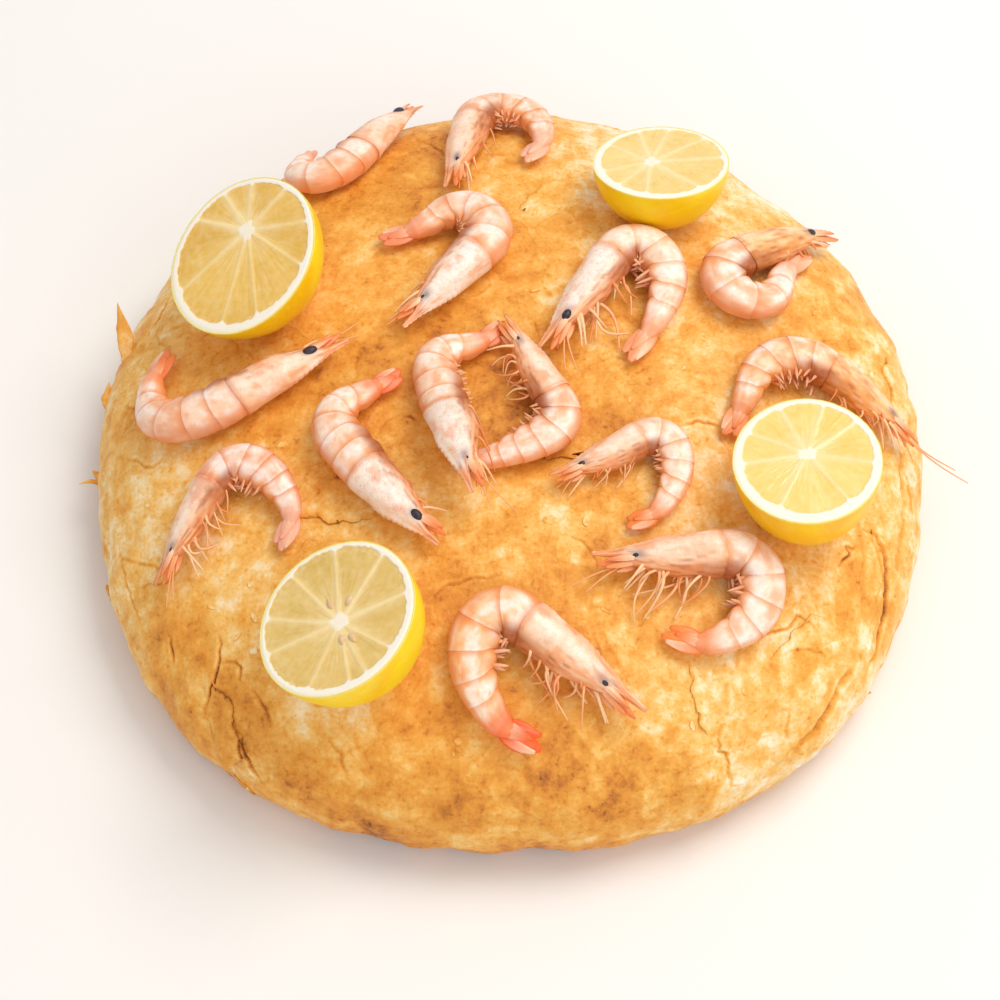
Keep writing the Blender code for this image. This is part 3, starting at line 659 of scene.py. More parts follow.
@dataclass
class Crust:
    """The pie's crust: crown, shoulder, flank and underside, with its torn sheets and flakes.

    lines holds the larger cracks and torn edges, each as a TornLine takes its values.
    """

    crown: Crown
    finish: Material
    turn_steps: int = 1296
    ring_mm: float = 0.5
    inner_rings: int = 130
    band_rings: int = 72
    pole: float = 0.00003
    swell_depth: float = 0.0007
    fold_depth: float = 0.0016
    sheet_step: float = 0.0009
    ceiling: float = 0.00028
    sheet_thickness: float = 0.00030
    flake_thickness: float = 0.00025
    shard_thickness: float = 0.00016
    under_rings: int = 14
    hair_count: int = 44
    small_flakes: int = 24
    shards: int = 34
    shard_tries: int = 900
    sheets: tuple = (
        TornSheet(-62, -55, -92, 46, 16), TornSheet(18, -32, -80, 30, 12), TornSheet(98, -92, 130, 34, 14),
        TornSheet(138, -62, 10, 40, 12), TornSheet(-128, -72, -80, 26, 12), TornSheet(62, -120, -160, 30, 12),
        TornSheet(-98, -118, 20, 36, 10), TornSheet(10, 92, 140, 30, 12),
    )
    lines: tuple = (
        (((78, -97), (85, -95), (89, -93), (94, -92), (96, -91), (99, -87), (102, -87), (106, -90)),
         0.15, 0.6),
        (((117, -67), (121, -64), (123, -62), (121, -60), (126, -59)), 0.2, 0.6, 0.4),
        (((131, -51), (138, -52), (142, -57), (142, -65), (143, -80), (142, -88), (139, -96), (133, -103)),
         0.8, 0.8, 0.30, 0.7),
        (((150, -2), (153, -14), (154, -30), (152, -46), (148, -62)), -0.5, 0.8, 0.16, 1.5),
        (((126, -42), (130, -56), (130, -72), (127, -86)), 0.4, 0.3, 0.06, 1.2),
        (((136, -30), (141, -42), (142, -52)), 0.3, 0.3, 0.06, 1.0),
        (((155, -21), (158, -24), (160, -30), (160, -38)), 0.5, 0.3, 0.2),
        (((92, -101), (100, -98), (105, -98), (110, -98), (112, -102)), 0.35, 0.15, 0.12),
        (((72, -127), (73, -136), (75, -136), (77, -140), (78, -145), (81, -149), (84, -148)), 0.3, 0.5),
        (((97, -119), (97, -126), (99, -130)), 0.0, 0.3, 0.2),
        (((124, -100), (122, -106), (117, -116), (111, -125), (103, -134)), 0.8, 1.0, 0.26, 1.5),
        (((-88, -112), (-84, -119), (-82, -126)), 0.5, 0.5, 0.20, 0.8),
        (((-62, -132), (-58, -138), (-57, -146)), 0.5, 0.4, 0.12, 0.8),
        (((-143, 45), (-140, 48), (-138, 54), (-138, 60)), 0.3, 0.4, 0.25),
        (((-149, -18), (-143, -21), (-138, -25), (-135, -26), (-132, -25), (-130, -22)), 0.35, 0.3, 0.2),
        (((-139, 39), (-137, 33), (-133, 30)), 0.3, 0.2, 0.15),
        (((-100, -94), (-100, -102), (-103, -107), (-105, -112), (-109, -118)), 0.1, 0.9, 0.4),
        (((-100, -103), (-95, -103), (-92, -105), (-93, -109), (-92, -110)), 0.1, 0.5, 0.3),
        (((-121, -92), (-121, -101)), 0.0, 0.5, 0.3),
        (((-152, -53), (-148, -59), (-137, -63), (-129, -66), (-125, -64)), -0.4, 0.2, 0.2),
        (((-147, -61), (-145, -72), (-138, -84)), 0.3, 0.3, 0.2),
        (((-96, -127), (-96, -136), (-92, -147)), -0.8, 0.5, 0.3),
        (((-28, -88), (-23, -82), (-13, -80), (-3, -79)), 0.3, 0.35, 0.15),
        (((-40, -14), (-37, -14), (-33, -16)), 0.3, 0.4, 0.25),
        (((62, -18), (68, -16), (72, -16), (77, -18)), 0.4, 0.5, 0.25),
        (((-34, 127), (-27, 118), (-22, 110), (-20, 102)), 0.4, 0.2, 0.15),
        (((-66, 146), (-58, 151), (-50, 150), (-46, 156)), 0.4, 0.4, 0.25),
        (((30, 158), (40, 152), (48, 148), (50, 138)), 0.5, 0.3, 0.2),
        (((108, 108), (114, 98), (120, 92), (121, 82)), -0.5, 0.3, 0.2),
        (((152, 34), (148, 26), (151, 16), (150, 6)), 0.5, 0.3, 0.2),
        (((-152, 8), (-146, 4), (-145, -4)), 0.3, 0.4, 0.25),
        (((30, 8), (38, 12), (44, 10), (50, 14)), 0.2, 0.2, 0.1),
        (((18, -62), (26, -66), (30, -74)), 0.25, 0.2, 0.1),
    )
    flakes: tuple = (
        Flake(167, 0.032, 23, 5.4, 13, -52, 65), Flake(174, 0.024, 12, 5, 4, -50, 50),
        Flake(184.5, 0.016, 9, 3.0, 55, -25), Flake(184, 0.016, 7, 4, 24, -35, 40),
        Flake(203, 0.014, 8, 7, 10, -50, 30), Flake(234, 0.008, 10, 11, 16, 35),
        Flake(-39, 0.010, 8, 7, 14, 35),
    )

    def __post_init__(self) -> None:
        """Outline of the round pie: the crown, a quarter oval down to the foot, and the underside."""
        crown, turned = self.crown, np.linspace(0.0, math.pi / 2, 60)[1:]
        oval = crown.base_share + (1.0 - crown.base_share) * np.cos(turned)
        tuck = crown.rim_height * (1.0 - np.sin(turned))
        self.radii = crown.radius * np.concatenate([crown.shares, oval, [0.0]])
        self.heights = np.concatenate([crown.top(crown.shares), tuck, [0.0]])
        self.walked = np.concatenate([[0.0], np.cumsum(np.hypot(np.diff(self.radii), np.diff(self.heights)))])
        self.rim, self.foot, self.end = self.walked[[len(crown.shares) - 1, -2, -1]]
        self.marks = [*(TornLine(*line) for line in self.lines), *self.hairlines()]

    def hairlines(self) -> list[TornLine]:
        """Short hairline cracks strewn over the crown, each a wander of five corners.

        Returns:
            The lines.
        """
        draws, lines = np.random.default_rng(500), []
        for _ in range(self.hair_count):
            walk, angle = 168.0 * math.sqrt(draws.uniform(0.02, 1.0)), draws.uniform(0.0, FULL_TURN)
            course = draws.uniform(0.0, FULL_TURN) + np.cumsum(draws.normal(0.0, 0.3, 4))
            steps = stacked(*rotate(draws.uniform(0.8, 2.4), 0.0, course))
            corners = np.cumsum([rotate(walk, 0.0, angle), *steps], axis=0)
            gap, drop = draws.uniform(0.10, 0.30), draws.uniform(0.0, 0.25)
            lines.append(TornLine(tuple(map(tuple, corners)), drop, gap, 0.35 * gap))
        return lines

    def layers(self, x: Array, y: Array) -> tuple[Array, Array]:
        """Sheets that end on one another: warped noises cut at a level, each a step of a sheet.

        Args:
            x: Places, in metres walked.
            y: Places, in metres walked.

        Returns:
            Height in metres and bake that the steps add.
        """
        warped = [place + 0.005 * lattice_noise(x, y, 0.014, seed) + 0.0012 * lattice_noise(x, y, 0.004, fine)
                  for place, seed, fine in ((x, 71, 74), (y, 72, 76))]
        height, tone = 0.0, 0.0
        for seed, cell, level, step, change in (
            (73, 0.050, 0.22, 0.28, -0.07), (175, 0.065, 0.05, 0.20, 0.05), (277, 0.034, 0.34, 0.18, -0.05),
        ):
            value = layered_noise(*warped, cell, seed, 4)
            inside = ease(value, level, 0.022)
            height = height - step * MM * inside
            # A darker band on the face of each step is painted shade; the upper sheet is a little paler just
            # before its edge.
            tone = tone + change * inside + 0.035 * bell(value, level + 0.014, 0.013)
            tone = tone - 0.04 * bell(value, level - 0.02, 0.02)
        return height, tone

    def look(self, x: Array, y: Array) -> tuple[Array, Array]:
        """Relief of the crust over the smooth crown, and how far it is baked.

        The solid's own swells, sheet edges and flank folds, then creases, layers, blisters and cracks.

        Args:
            x: Places, in metres walked.
            y: Places, in metres walked.

        Returns:
            Height in metres, nearly all of it below the crown, and bake from 0, pale, to 1, brown.
        """
        noise, walk, angle = partial(layered_noise, x, y), np.hypot(x, y), np.arctan2(y, x)
        share, low = self.crown.share_at(walk), np.clip((walk - self.rim) / (self.foot - self.rim), 0.0, 1.0)
        steep, windows = ease(share, 0.82, 0.15), sum(sheet.window(x, y) for sheet in self.sheets)
        swell = np.sin(61.0 * x + 1.3) * np.cos(53.0 * y - 0.4) + 0.6 * np.sin(97.0 * y + 88.0 * x)
        folds = np.sin(23.0 * angle + 2.0 * np.sin(3.0 * angle)) * np.cos(7.0 * angle + 0.6)
        gathers = np.sin(41.0 * angle + 3.0 * np.sin(5.0 * angle) + 9.0 * low)
        height = -self.swell_depth * (0.55 + 0.35 * swell) - self.sheet_step * windows
        height = height - steep * self.fold_depth * (0.5 + 0.4 * folds + 0.15 * gathers)

        # A crease is 1 along the lines where smooth noise crosses zero, and 0 away from them.
        crease, fine_crease = (1.0 - np.clip(np.abs(noise(cell, seed, 2)) / 0.22, 0.0, 1.0)
                               for cell, seed in ((0.018, 84), (0.0075, 88)))
        rough = 0.5 + 0.5 * lattice_noise(x, y, 0.05, 80)
        pleats = layered_noise(angle * LATTICE / FULL_TURN, 0.20 * walk / 0.0065, 1.0, 95)
        hems = layered_noise(0.016 * np.cos(angle), 0.016 * np.sin(angle) + walk, 0.0042, 131)
        height = height + 0.00026 * noise(0.013, 81) + 0.00009 * noise(0.0032, 91, 2)
        height = height - 0.00026 * rough * crease - 0.00012 * fine_crease * (1.0 - 0.6 * rough)
        height = height + steep * (0.0007 * pleats + 0.0004 * hems)

        # Bake: broad to fine mottling with a little painted shade in the creases, then the paler right, a
        # left side painted paler as light, the paler front and back, and darker towards the foot.
        layers, layer_tone = self.layers(x, y)
        streaks = layered_noise(x + 0.004 * lattice_noise(x, y, 0.020, 117), 0.16 * y, 0.0080, 113)
        right, front = ease(0.90 * x + 0.35 * y, 0.01, 0.12), ease(y, -0.05, -0.08)
        cream = front * ease(x, 0.0, 0.09)
        bake = 0.48 + 0.13 * noise(0.060, 101, 2) + 0.15 * noise(0.018, 103) + 0.15 * noise(0.006, 107)
        # A little painted shade in the creases: 0.02 * rough * crease.
        bake = bake + 0.02 * rough * crease + layer_tone + 0.05 * ease(noise(0.022, 109), 0.28, 0.3)
        bake = bake - (0.07 + 0.06 * ease(x, -0.02, 0.08)) * ease(noise(0.010, 119), 0.22, 0.25)
        # The left is painted paler as light: 0.12 less bake towards the left.
        bake = bake - 0.15 * right - 0.12 * ease(x, -0.06, -0.06) - 0.16 * cream + 0.05 * windows
        bake = bake + front * (0.14 * ease(share, 0.82, 0.1) - 0.05)
        bake = bake - 0.07 * ease(y, 0.06, 0.06) * ease(x, -0.03, 0.04)
        bake = bake + steep * (0.14 * streaks - 0.07 * hems) + 0.24 * ease(low, 0.15, 0.6)
        pale = ease(share, 0.50, 0.3) * ease(streaks, 0.12 - 0.12 * cream, 0.30 + 0.20 * cream) * (1.0 - low)
        bake = bake - pale * (0.08 + 0.07 * cream - 0.05 * ease(x, -0.04, -0.06))
        for number in range(3):
            blister = ease(noise(0.005 + 0.002 * number, 190 + number, 2), 0.42, 0.25)
            height, bake = height + 0.00010 * blister, bake + 0.04 * blister
        height = np.minimum(height + layers, self.ceiling)
        for line in self.marks:
            line.mark(x, y, height, bake)
        return height, bake

    def surface(self, walk: Array, angle: Array) -> tuple[Array, Array]:
        """Points of the crust and how far each is baked.

        The round outline is pulled to the uneven rim, then moved along its normal by the relief.

        Args:
            walk: Length walked from the top, (n,).
            angle: Direction, (1, m).

        Returns:
            Points, (n, m, 3), and bake, (n, m).
        """
        walk, angle = np.broadcast_arrays(walk[:, None], angle)
        reach = np.interp(walk, self.walked, self.radii) * self.crown.rim_factor(angle)
        smooth = polar(reach, angle, np.interp(walk, self.walked, self.heights))
        flat = walk[0, 0] >= self.foot
        normal = np.array([0.0, 0.0, -1.0]) if flat else self.grid_normals(smooth)
        relief, bake = self.look(*rotate(walk, 0.0, angle))
        relief = relief * (1.0 - ease(walk - self.foot, -0.004, 0.004))
        points = smooth + relief[..., None] * normal
        points[..., 2] = np.maximum(points[..., 2], 0.0)
        return points, bake

    def grid_normals(self, points: Array) -> Array:
        """Unit normals of rings: cross product of central steps, and one shared normal at a pole.

        Args:
            points: Closed rings, (n, m, 3).

        Returns:
            Normals, (n, m, 3).
        """
        beside = np.roll(points, -1, axis=1) - np.roll(points, 1, axis=1)
        normal = unit(np.cross(np.gradient(points, axis=0), beside))
        if np.ptp(points[0, :, 0]) < MM:
            normal[0] = normal[1].mean(axis=0)
        return normal

    def band(self, name: str, points: Array, bake: Array, normals: Array) -> None:
        """Makes one band of the crust, closed round the pie, with the normals of the whole surface.

        Args:
            name: Name of the piece.
            points: Rings of the band, (n, m, 3).
            bake: Bake attribute, (n, m).
            normals: Unit normals, (n, m, 3).
        """
        rings, sides, _ = points.shape
        faces = [ring_quads(rings, sides)[:, [0, 3, 2, 1]]]
        columns = [points.reshape(-1, 3), bake.ravel(), normals.reshape(-1, 3)]
        for ring, order in ((0, [0, 2, 1]), (rings - 1, [0, 1, 2])):
            if np.ptp(points[ring, :, 0]) < MM:
                faces.append(ring_fan(len(columns[0]), ring * sides, sides)[:, order])
                hub = (part[ring].mean(axis=0, keepdims=True) for part in (points, bake, normals))
                columns = [np.concatenate(pair) for pair in zip(columns, hub)]
        flat, tone, facing = columns
        piece = new_piece(name, "pastilla_crust", "crust", [self.finish], flat, faces, bake=tone)
        piece.data.normals_split_custom_set_from_vertices(facing.tolist())

    def build(self, keep_off: Array) -> None:
        """Builds the crust's bands, its underside, its torn sheets, its flakes and its shards.

        The middle has half as many steps round as the outer bands, which start on its own edge.

        Args:
            keep_off: Places where toppings lie, as (x, y, radius) in metres.
        """
        step, angle = self.ring_mm * MM, turns(self.turn_steps)
        inner = np.linspace(0.0, self.inner_rings * step, self.inner_rings + 1)
        outer = np.linspace(inner[-1], self.foot, round((self.foot - inner[-1]) / step) + 1)
        under = np.linspace(self.foot, self.end - self.pole, self.under_rings)
        inner[0] = self.pole
        points, bake = self.surface(inner, angle[:, ::2])
        self.band("crust_crown_middle", points, bake, self.grid_normals(points))
        points, bake = self.surface(outer, angle)
        points[0, 1::2] = 0.5 * (points[0, ::2] + np.roll(points[0, ::2], -1, axis=0))
        normals = self.grid_normals(points)
        names = ("crust_crown_outer", "crust_shoulder", "crust_flank", "crust_foot")
        for name, start in zip(names, range(0, len(outer), self.band_rings)):
            rows = slice(start, start + self.band_rings + 1)
            self.band(name, points[rows], bake[rows], normals[rows])
        points, bake = self.surface(under, angle)
        self.band("crust_underside", points, bake, self.grid_normals(points))
        self.leaves("torn_sheets", [self.sheet_leaf(index) for index in range(len(self.sheets))])
        self.leaves("flank_flakes", self.flake_leaves())
        self.leaves("loose_shards", self.shard_leaves(keep_off))

    def leaves(self, name: str, leaves: list[tuple]) -> None:
        """Makes thin closed sheets one piece, each between an upper and a lower grid of points.

        Args:
            name: Name of the piece.
            leaves: For each sheet its upper points, (n, m, 3), its thickness vectors and its bake.
        """
        draft = MeshDraft()
        for top, thickness, bake in leaves:
            rings = np.concatenate([top, (top + thickness)[:, ::-1]], axis=1)
            draft.tube(rings, np.zeros(3), np.concatenate([bake, bake[:, ::-1] + 0.08], axis=1))
        draft.bake(name, "pastilla_crust", "crust", [self.finish], "bake")

    def sheet_leaf(self, index: int) -> tuple[Array, Array, Array]:
        """A torn sheet: it stands free along its ragged front edge and sinks in behind it.

        Ahead = -(bow + reach * behind) + ragged edge, and sink grows with behind and to both ends.

        Args:
            index: Number of the sheet.

        Returns:
            Upper points, thickness vectors and bake.
        """
        sheet, draws = self.sheets[index], np.random.default_rng(100 + index)
        aside, behind = np.linspace(-1.0, 1.0, 120)[None, :], shares(24) ** 1.4
        corners = draws.uniform(-1.0, 1.0, 9) * 0.10 * sheet.reach
        ragged = np.interp(aside, np.linspace(-1.0, 1.0, 9), corners)
        along = aside * 0.5 * sheet.width
        ragged = ragged + 1.9 * layered_noise(along * MM, 0.0, 0.0045, 130 + index, 4)
        ahead = -sheet.reach * (0.35 * aside**2 + behind) + ragged * (1.0 - behind)
        x, y = rotate(ahead, along, math.radians(sheet.facing))
        x, y = (sheet.x + x) * MM, (sheet.y + y) * MM
        relief, bake = self.look(x, y)
        curl = 0.2 + lattice_noise(x, y, 0.009, 150 + index)
        curl = 0.00030 * (1.0 - ease(behind, 0.0, 0.22)) * curl
        drop = 0.0013 * behind**1.3 + 0.0016 * np.abs(aside) ** 5
        lifted = relief + 0.85 * self.sheet_step * sheet.window(x, y) - 0.00012 + curl
        top = self.crown.drape(x, y, np.minimum(lifted, self.ceiling) - drop)
        bake = bake + 0.14 * np.exp(-behind / 0.04) - 0.08 * bell(behind, 0.18, 0.12)
        return top, -self.sheet_thickness * self.crown.normal(x, y), bake

    def flake_leaves(self) -> list[tuple]:
        """Curled flakes: pointed blades that spring from the flank and bend away as they rise.

        Half width = width/2 * sin(pi * (0.2 + 0.78 share))^0.8, cupped across, with a ragged edge.

        Returns:
            For each flake its upper points, thickness vectors and bake.
        """
        draws, leaves, upward = np.random.default_rng(600), [], np.array([0.0, 0.0, 1.0])
        lowest, highest = (0.0, 0.006, 4.0, 4.0, -6.0, -60.0), (360.0, 0.022, 6.5, 7.0, 1.0, 60.0)
        small = [Flake(*draws.uniform(lowest, highest)) for _ in range(self.small_flakes)]
        share, side = shares(22), np.linspace(-1.0, 1.0, 11)[None, :]
        for index, flake in enumerate((*self.flakes, *small)):
            angle, lean, twist, opening = np.radians((flake.angle, flake.lean, flake.twist, flake.opening))
            outward, sideways = polar(1.0, angle, 0.0), polar(1.0, angle + math.pi / 2, 0.0)
            radius = np.interp(flake.height, self.heights[::-1], self.radii[::-1])
            root = (radius * self.crown.rim_factor(angle) - 0.0028) * outward + flake.height * upward
            along, flat = rotate(upward, sideways, -lean)
            across, facing = rotate(flat, outward, -twist)
            reach = flake.length * MM * share * (1.0 - 0.10 * side**2)
            ragged = 1.0 + 0.30 * layered_noise(share * 0.02, side * 0.002, 0.005, 180 + index)
            half = 0.55 * flake.width * MM * np.sin(math.pi * (0.20 + 0.78 * share)) ** 0.8 * ragged
            cup = 0.0009 * side**2 + 0.0006 * lattice_noise(share * 0.02, side * 0.008, 0.006, 190 + index)
            bent = rotate(reach, 0.0, opening * (0.4 + share))
            lengths = stacked(*bent, half * side, cup * ease(share, 0.0, 0.3))
            top = root + lengths @ np.stack([along, outward, across, facing])
            mottle = lattice_noise(share * 0.02, side * 0.004, 0.004, 200 + index)
            bake = 0.26 + 0.08 * share + 0.08 * np.abs(side) ** 3 + 0.14 * mottle
            leaves.append((top, -self.flake_thickness * facing, bake))
        return leaves

    def shard_leaves(self, keep_off: Array) -> list[tuple]:
        """Thin shards of pastry that lie loose on the crown, their rims curled up.

        Half width = width * sin(pi * share)^0.6 with a ragged edge, rise = relief + curl * edge^2.

        Args:
            keep_off: Places where toppings lie, as (x, y, radius) in metres.

        Returns:
            For each shard its upper points, thickness vectors and bake.
        """
        draws, tries = np.random.default_rng(700), self.shard_tries
        walk, turn = 0.146 * np.sqrt(draws.uniform(0.0, 1.0, tries)), draws.uniform(0.0, FULL_TURN, tries)
        spots = stacked(*rotate(walk, 0.0, turn))
        apart = np.linalg.norm(spots[:, None] - keep_off[None, :, :2], axis=-1)
        spots = spots[(apart > keep_off[:, 2] + 0.004).all(axis=1)][: self.shards]
        ranges = ((0.0018, 0.0046), (0.0006, 0.0014), (0.0, FULL_TURN), (0.00005, 0.00030), (-0.08, 0.16))
        length, width, course, curl = (draws.uniform(*ends, (len(spots), 1, 1)) for ends in ranges[:4])
        share, side = np.linspace(0.03, 0.97, 14)[None, :, None], np.linspace(-1.0, 1.0, 9)[None, None, :]
        shift = 0.05 * np.arange(len(spots))[:, None, None]
        ragged = 1.0 + 0.45 * layered_noise(share * 0.02 + shift, side * 0.003, 0.005, 720)
        across = width * np.sin(math.pi * share) ** 0.6 * ragged * side
        x, y = spots.T[..., None, None] + rotate(length * (share - 0.5), across, course)
        relief, bake = self.look(x, y)
        edge = np.maximum(np.abs(side), np.abs(2.0 * share - 1.0))
        top = self.crown.drape(x, y, relief + 0.00012 + curl * edge**2 * (0.6 + 0.6 * side))
        tone = bake - 0.12 + draws.uniform(*ranges[4], (len(spots), 1, 1)) + 0.10 * edge**4
        return list(zip(top, -self.shard_thickness * self.crown.normal(x, y), tone))


class ShellTone(Enum):
    """Overall colour of a boiled shrimp: main shell, pale middle of the plates, and bands."""

    PEACH = ("#fac6a0", "#fff0e2", "#ea8846")
    PALE = ("#fbd6b6", "#fff7f0", "#ee9a60")
    ROSY = ("#f8bc9a", "#ffeadc", "#e67e4a")
    WARM = ("#f9bc88", "#ffe8cc", "#ea8438")


class HeadTone(Enum):
    """Look of a shrimp's head shell: main colour, flank, how speckled, how fibrous, and its underside."""

    PINK = ("#f9c49c", "#fde6d2", 0.25, 0.0, "#f0924a")
    GREYISH = ("#f7dac2", "#faf1ea", 0.50, 0.0, "#f09046")
    AMBER = ("#f4b168", "#fcdbaa", 0.20, 0.7, "#f09c4c")


@dataclass(frozen=True)
class ShrimpPose:
    """One shrimp: its waist on the crown, the way its head points, and how its abdomen curls.

    x and y in mm along the crown, angles in degrees, length in mm. side is 1 where the abdomen
    turns counter-clockwise going back, else -1. feelers are an angle and a length for each.
    """

    x: float
    y: float
    heading: float
    bends: tuple
    length: float
    side: int
    girth: float = 1.0
    head_lift: float = 0.0
    legs: int = 3
    leg_reach: float = 12.0
    feelers: tuple = ()
    sweep: float = 0.3
    palps: int = 1
    eye: float = 0.75
    shell: ShellTone = ShellTone.PEACH
    head: HeadTone = HeadTone.PINK
    tail: str = "#f0703c"


SHRIMP_POSES = (
    ShrimpPose(-57, 114, 60, (32, 120, 0), 101, -1, girth=1.05, legs=3, leg_reach=6, eye=1.4, tail="#f3a27c"),
    ShrimpPose(-14, 126, 259, (83, 71, 55), 102, -1, legs=9, leg_reach=11, sweep=1.15, palps=3,
               tail="#f6b79a"),
    ShrimpPose(-13, 52, 228, (73, 93, -25), 104, 1, girth=1.1, legs=6, leg_reach=8,
               feelers=((12, 14), (20, 12)), sweep=1.2, palps=3, head=HeadTone.GREYISH, tail="#f3926a"),
    ShrimpPose(37, 51, 240, (118, 52, 17), 122, -1, girth=0.9, legs=13, leg_reach=18,
               feelers=((44, 20), (30, 18)), sweep=0.95, palps=3, eye=0.95, shell=ShellTone.PALE,
               head=HeadTone.GREYISH, tail="#f4a070"),
    ShrimpPose(86, 57, 33, (106, 116, -26), 126, 1, girth=0.86, legs=3, leg_reach=5, sweep=1.0, eye=0.9,
               head=HeadTone.AMBER, tail="#f2a67e"),
    ShrimpPose(-99, -7, 31, (26, 83, 42), 114, -1, legs=5, leg_reach=6, feelers=((-8, 18), (8, 20)),
               sweep=1.1, eye=1.2, tail="#f6864a"),
    ShrimpPose(-49, -40, -46, (5, 95, -4), 97, -1, girth=1.15, legs=3, leg_reach=5, sweep=1.0, eye=1.25,
               head=HeadTone.GREYISH, tail="#f47846"),
    ShrimpPose(-22, -19, -72, (0, 92, -28), 95, -1, girth=1.15, head_lift=10.0, legs=8, leg_reach=10,
               feelers=((22, 24), (4, 20)), sweep=1.3, palps=4, head=HeadTone.GREYISH, tail="#ee8452"),
    ShrimpPose(15, -10, 119, (80, 21, 62), 96, -1, legs=14, leg_reach=10, sweep=0.6, tail="#f2a074"),
    ShrimpPose(45, -28, 208, (108, 40, 42), 87, -1, legs=8, leg_reach=9, feelers=((28, 10),), sweep=0.85,
               eye=0.9, shell=ShellTone.PALE, tail="#f08338"),
    ShrimpPose(118, 8, -32, (50, 55, -12), 103, 1, legs=15, leg_reach=10,
               feelers=((4, 32, 12), (1, 26, 10), (14, 15)), sweep=1.15, palps=4, eye=0.45,
               shell=ShellTone.WARM, head=HeadTone.AMBER, tail="#f2965c"),
    ShrimpPose(70, -70, 187, (97, 58, 49), 107, -1, legs=16, leg_reach=17, feelers=((20, 22), (32, 18)),
               sweep=1.0, palps=3, shell=ShellTone.PALE, tail="#f88438"),
    ShrimpPose(-105, -42, 244, (89, 29, 66), 94, -1, legs=12, leg_reach=12, feelers=((14, 16), (24, 14)),
               sweep=0.5, palps=2, shell=ShellTone.ROSY, tail="#f6b095"),
    ShrimpPose(6, -99, -37, (108, 46, 44), 116, 1, legs=16, leg_reach=15, sweep=0.85, palps=2,
               shell=ShellTone.WARM, tail="#fb5c14"),
)


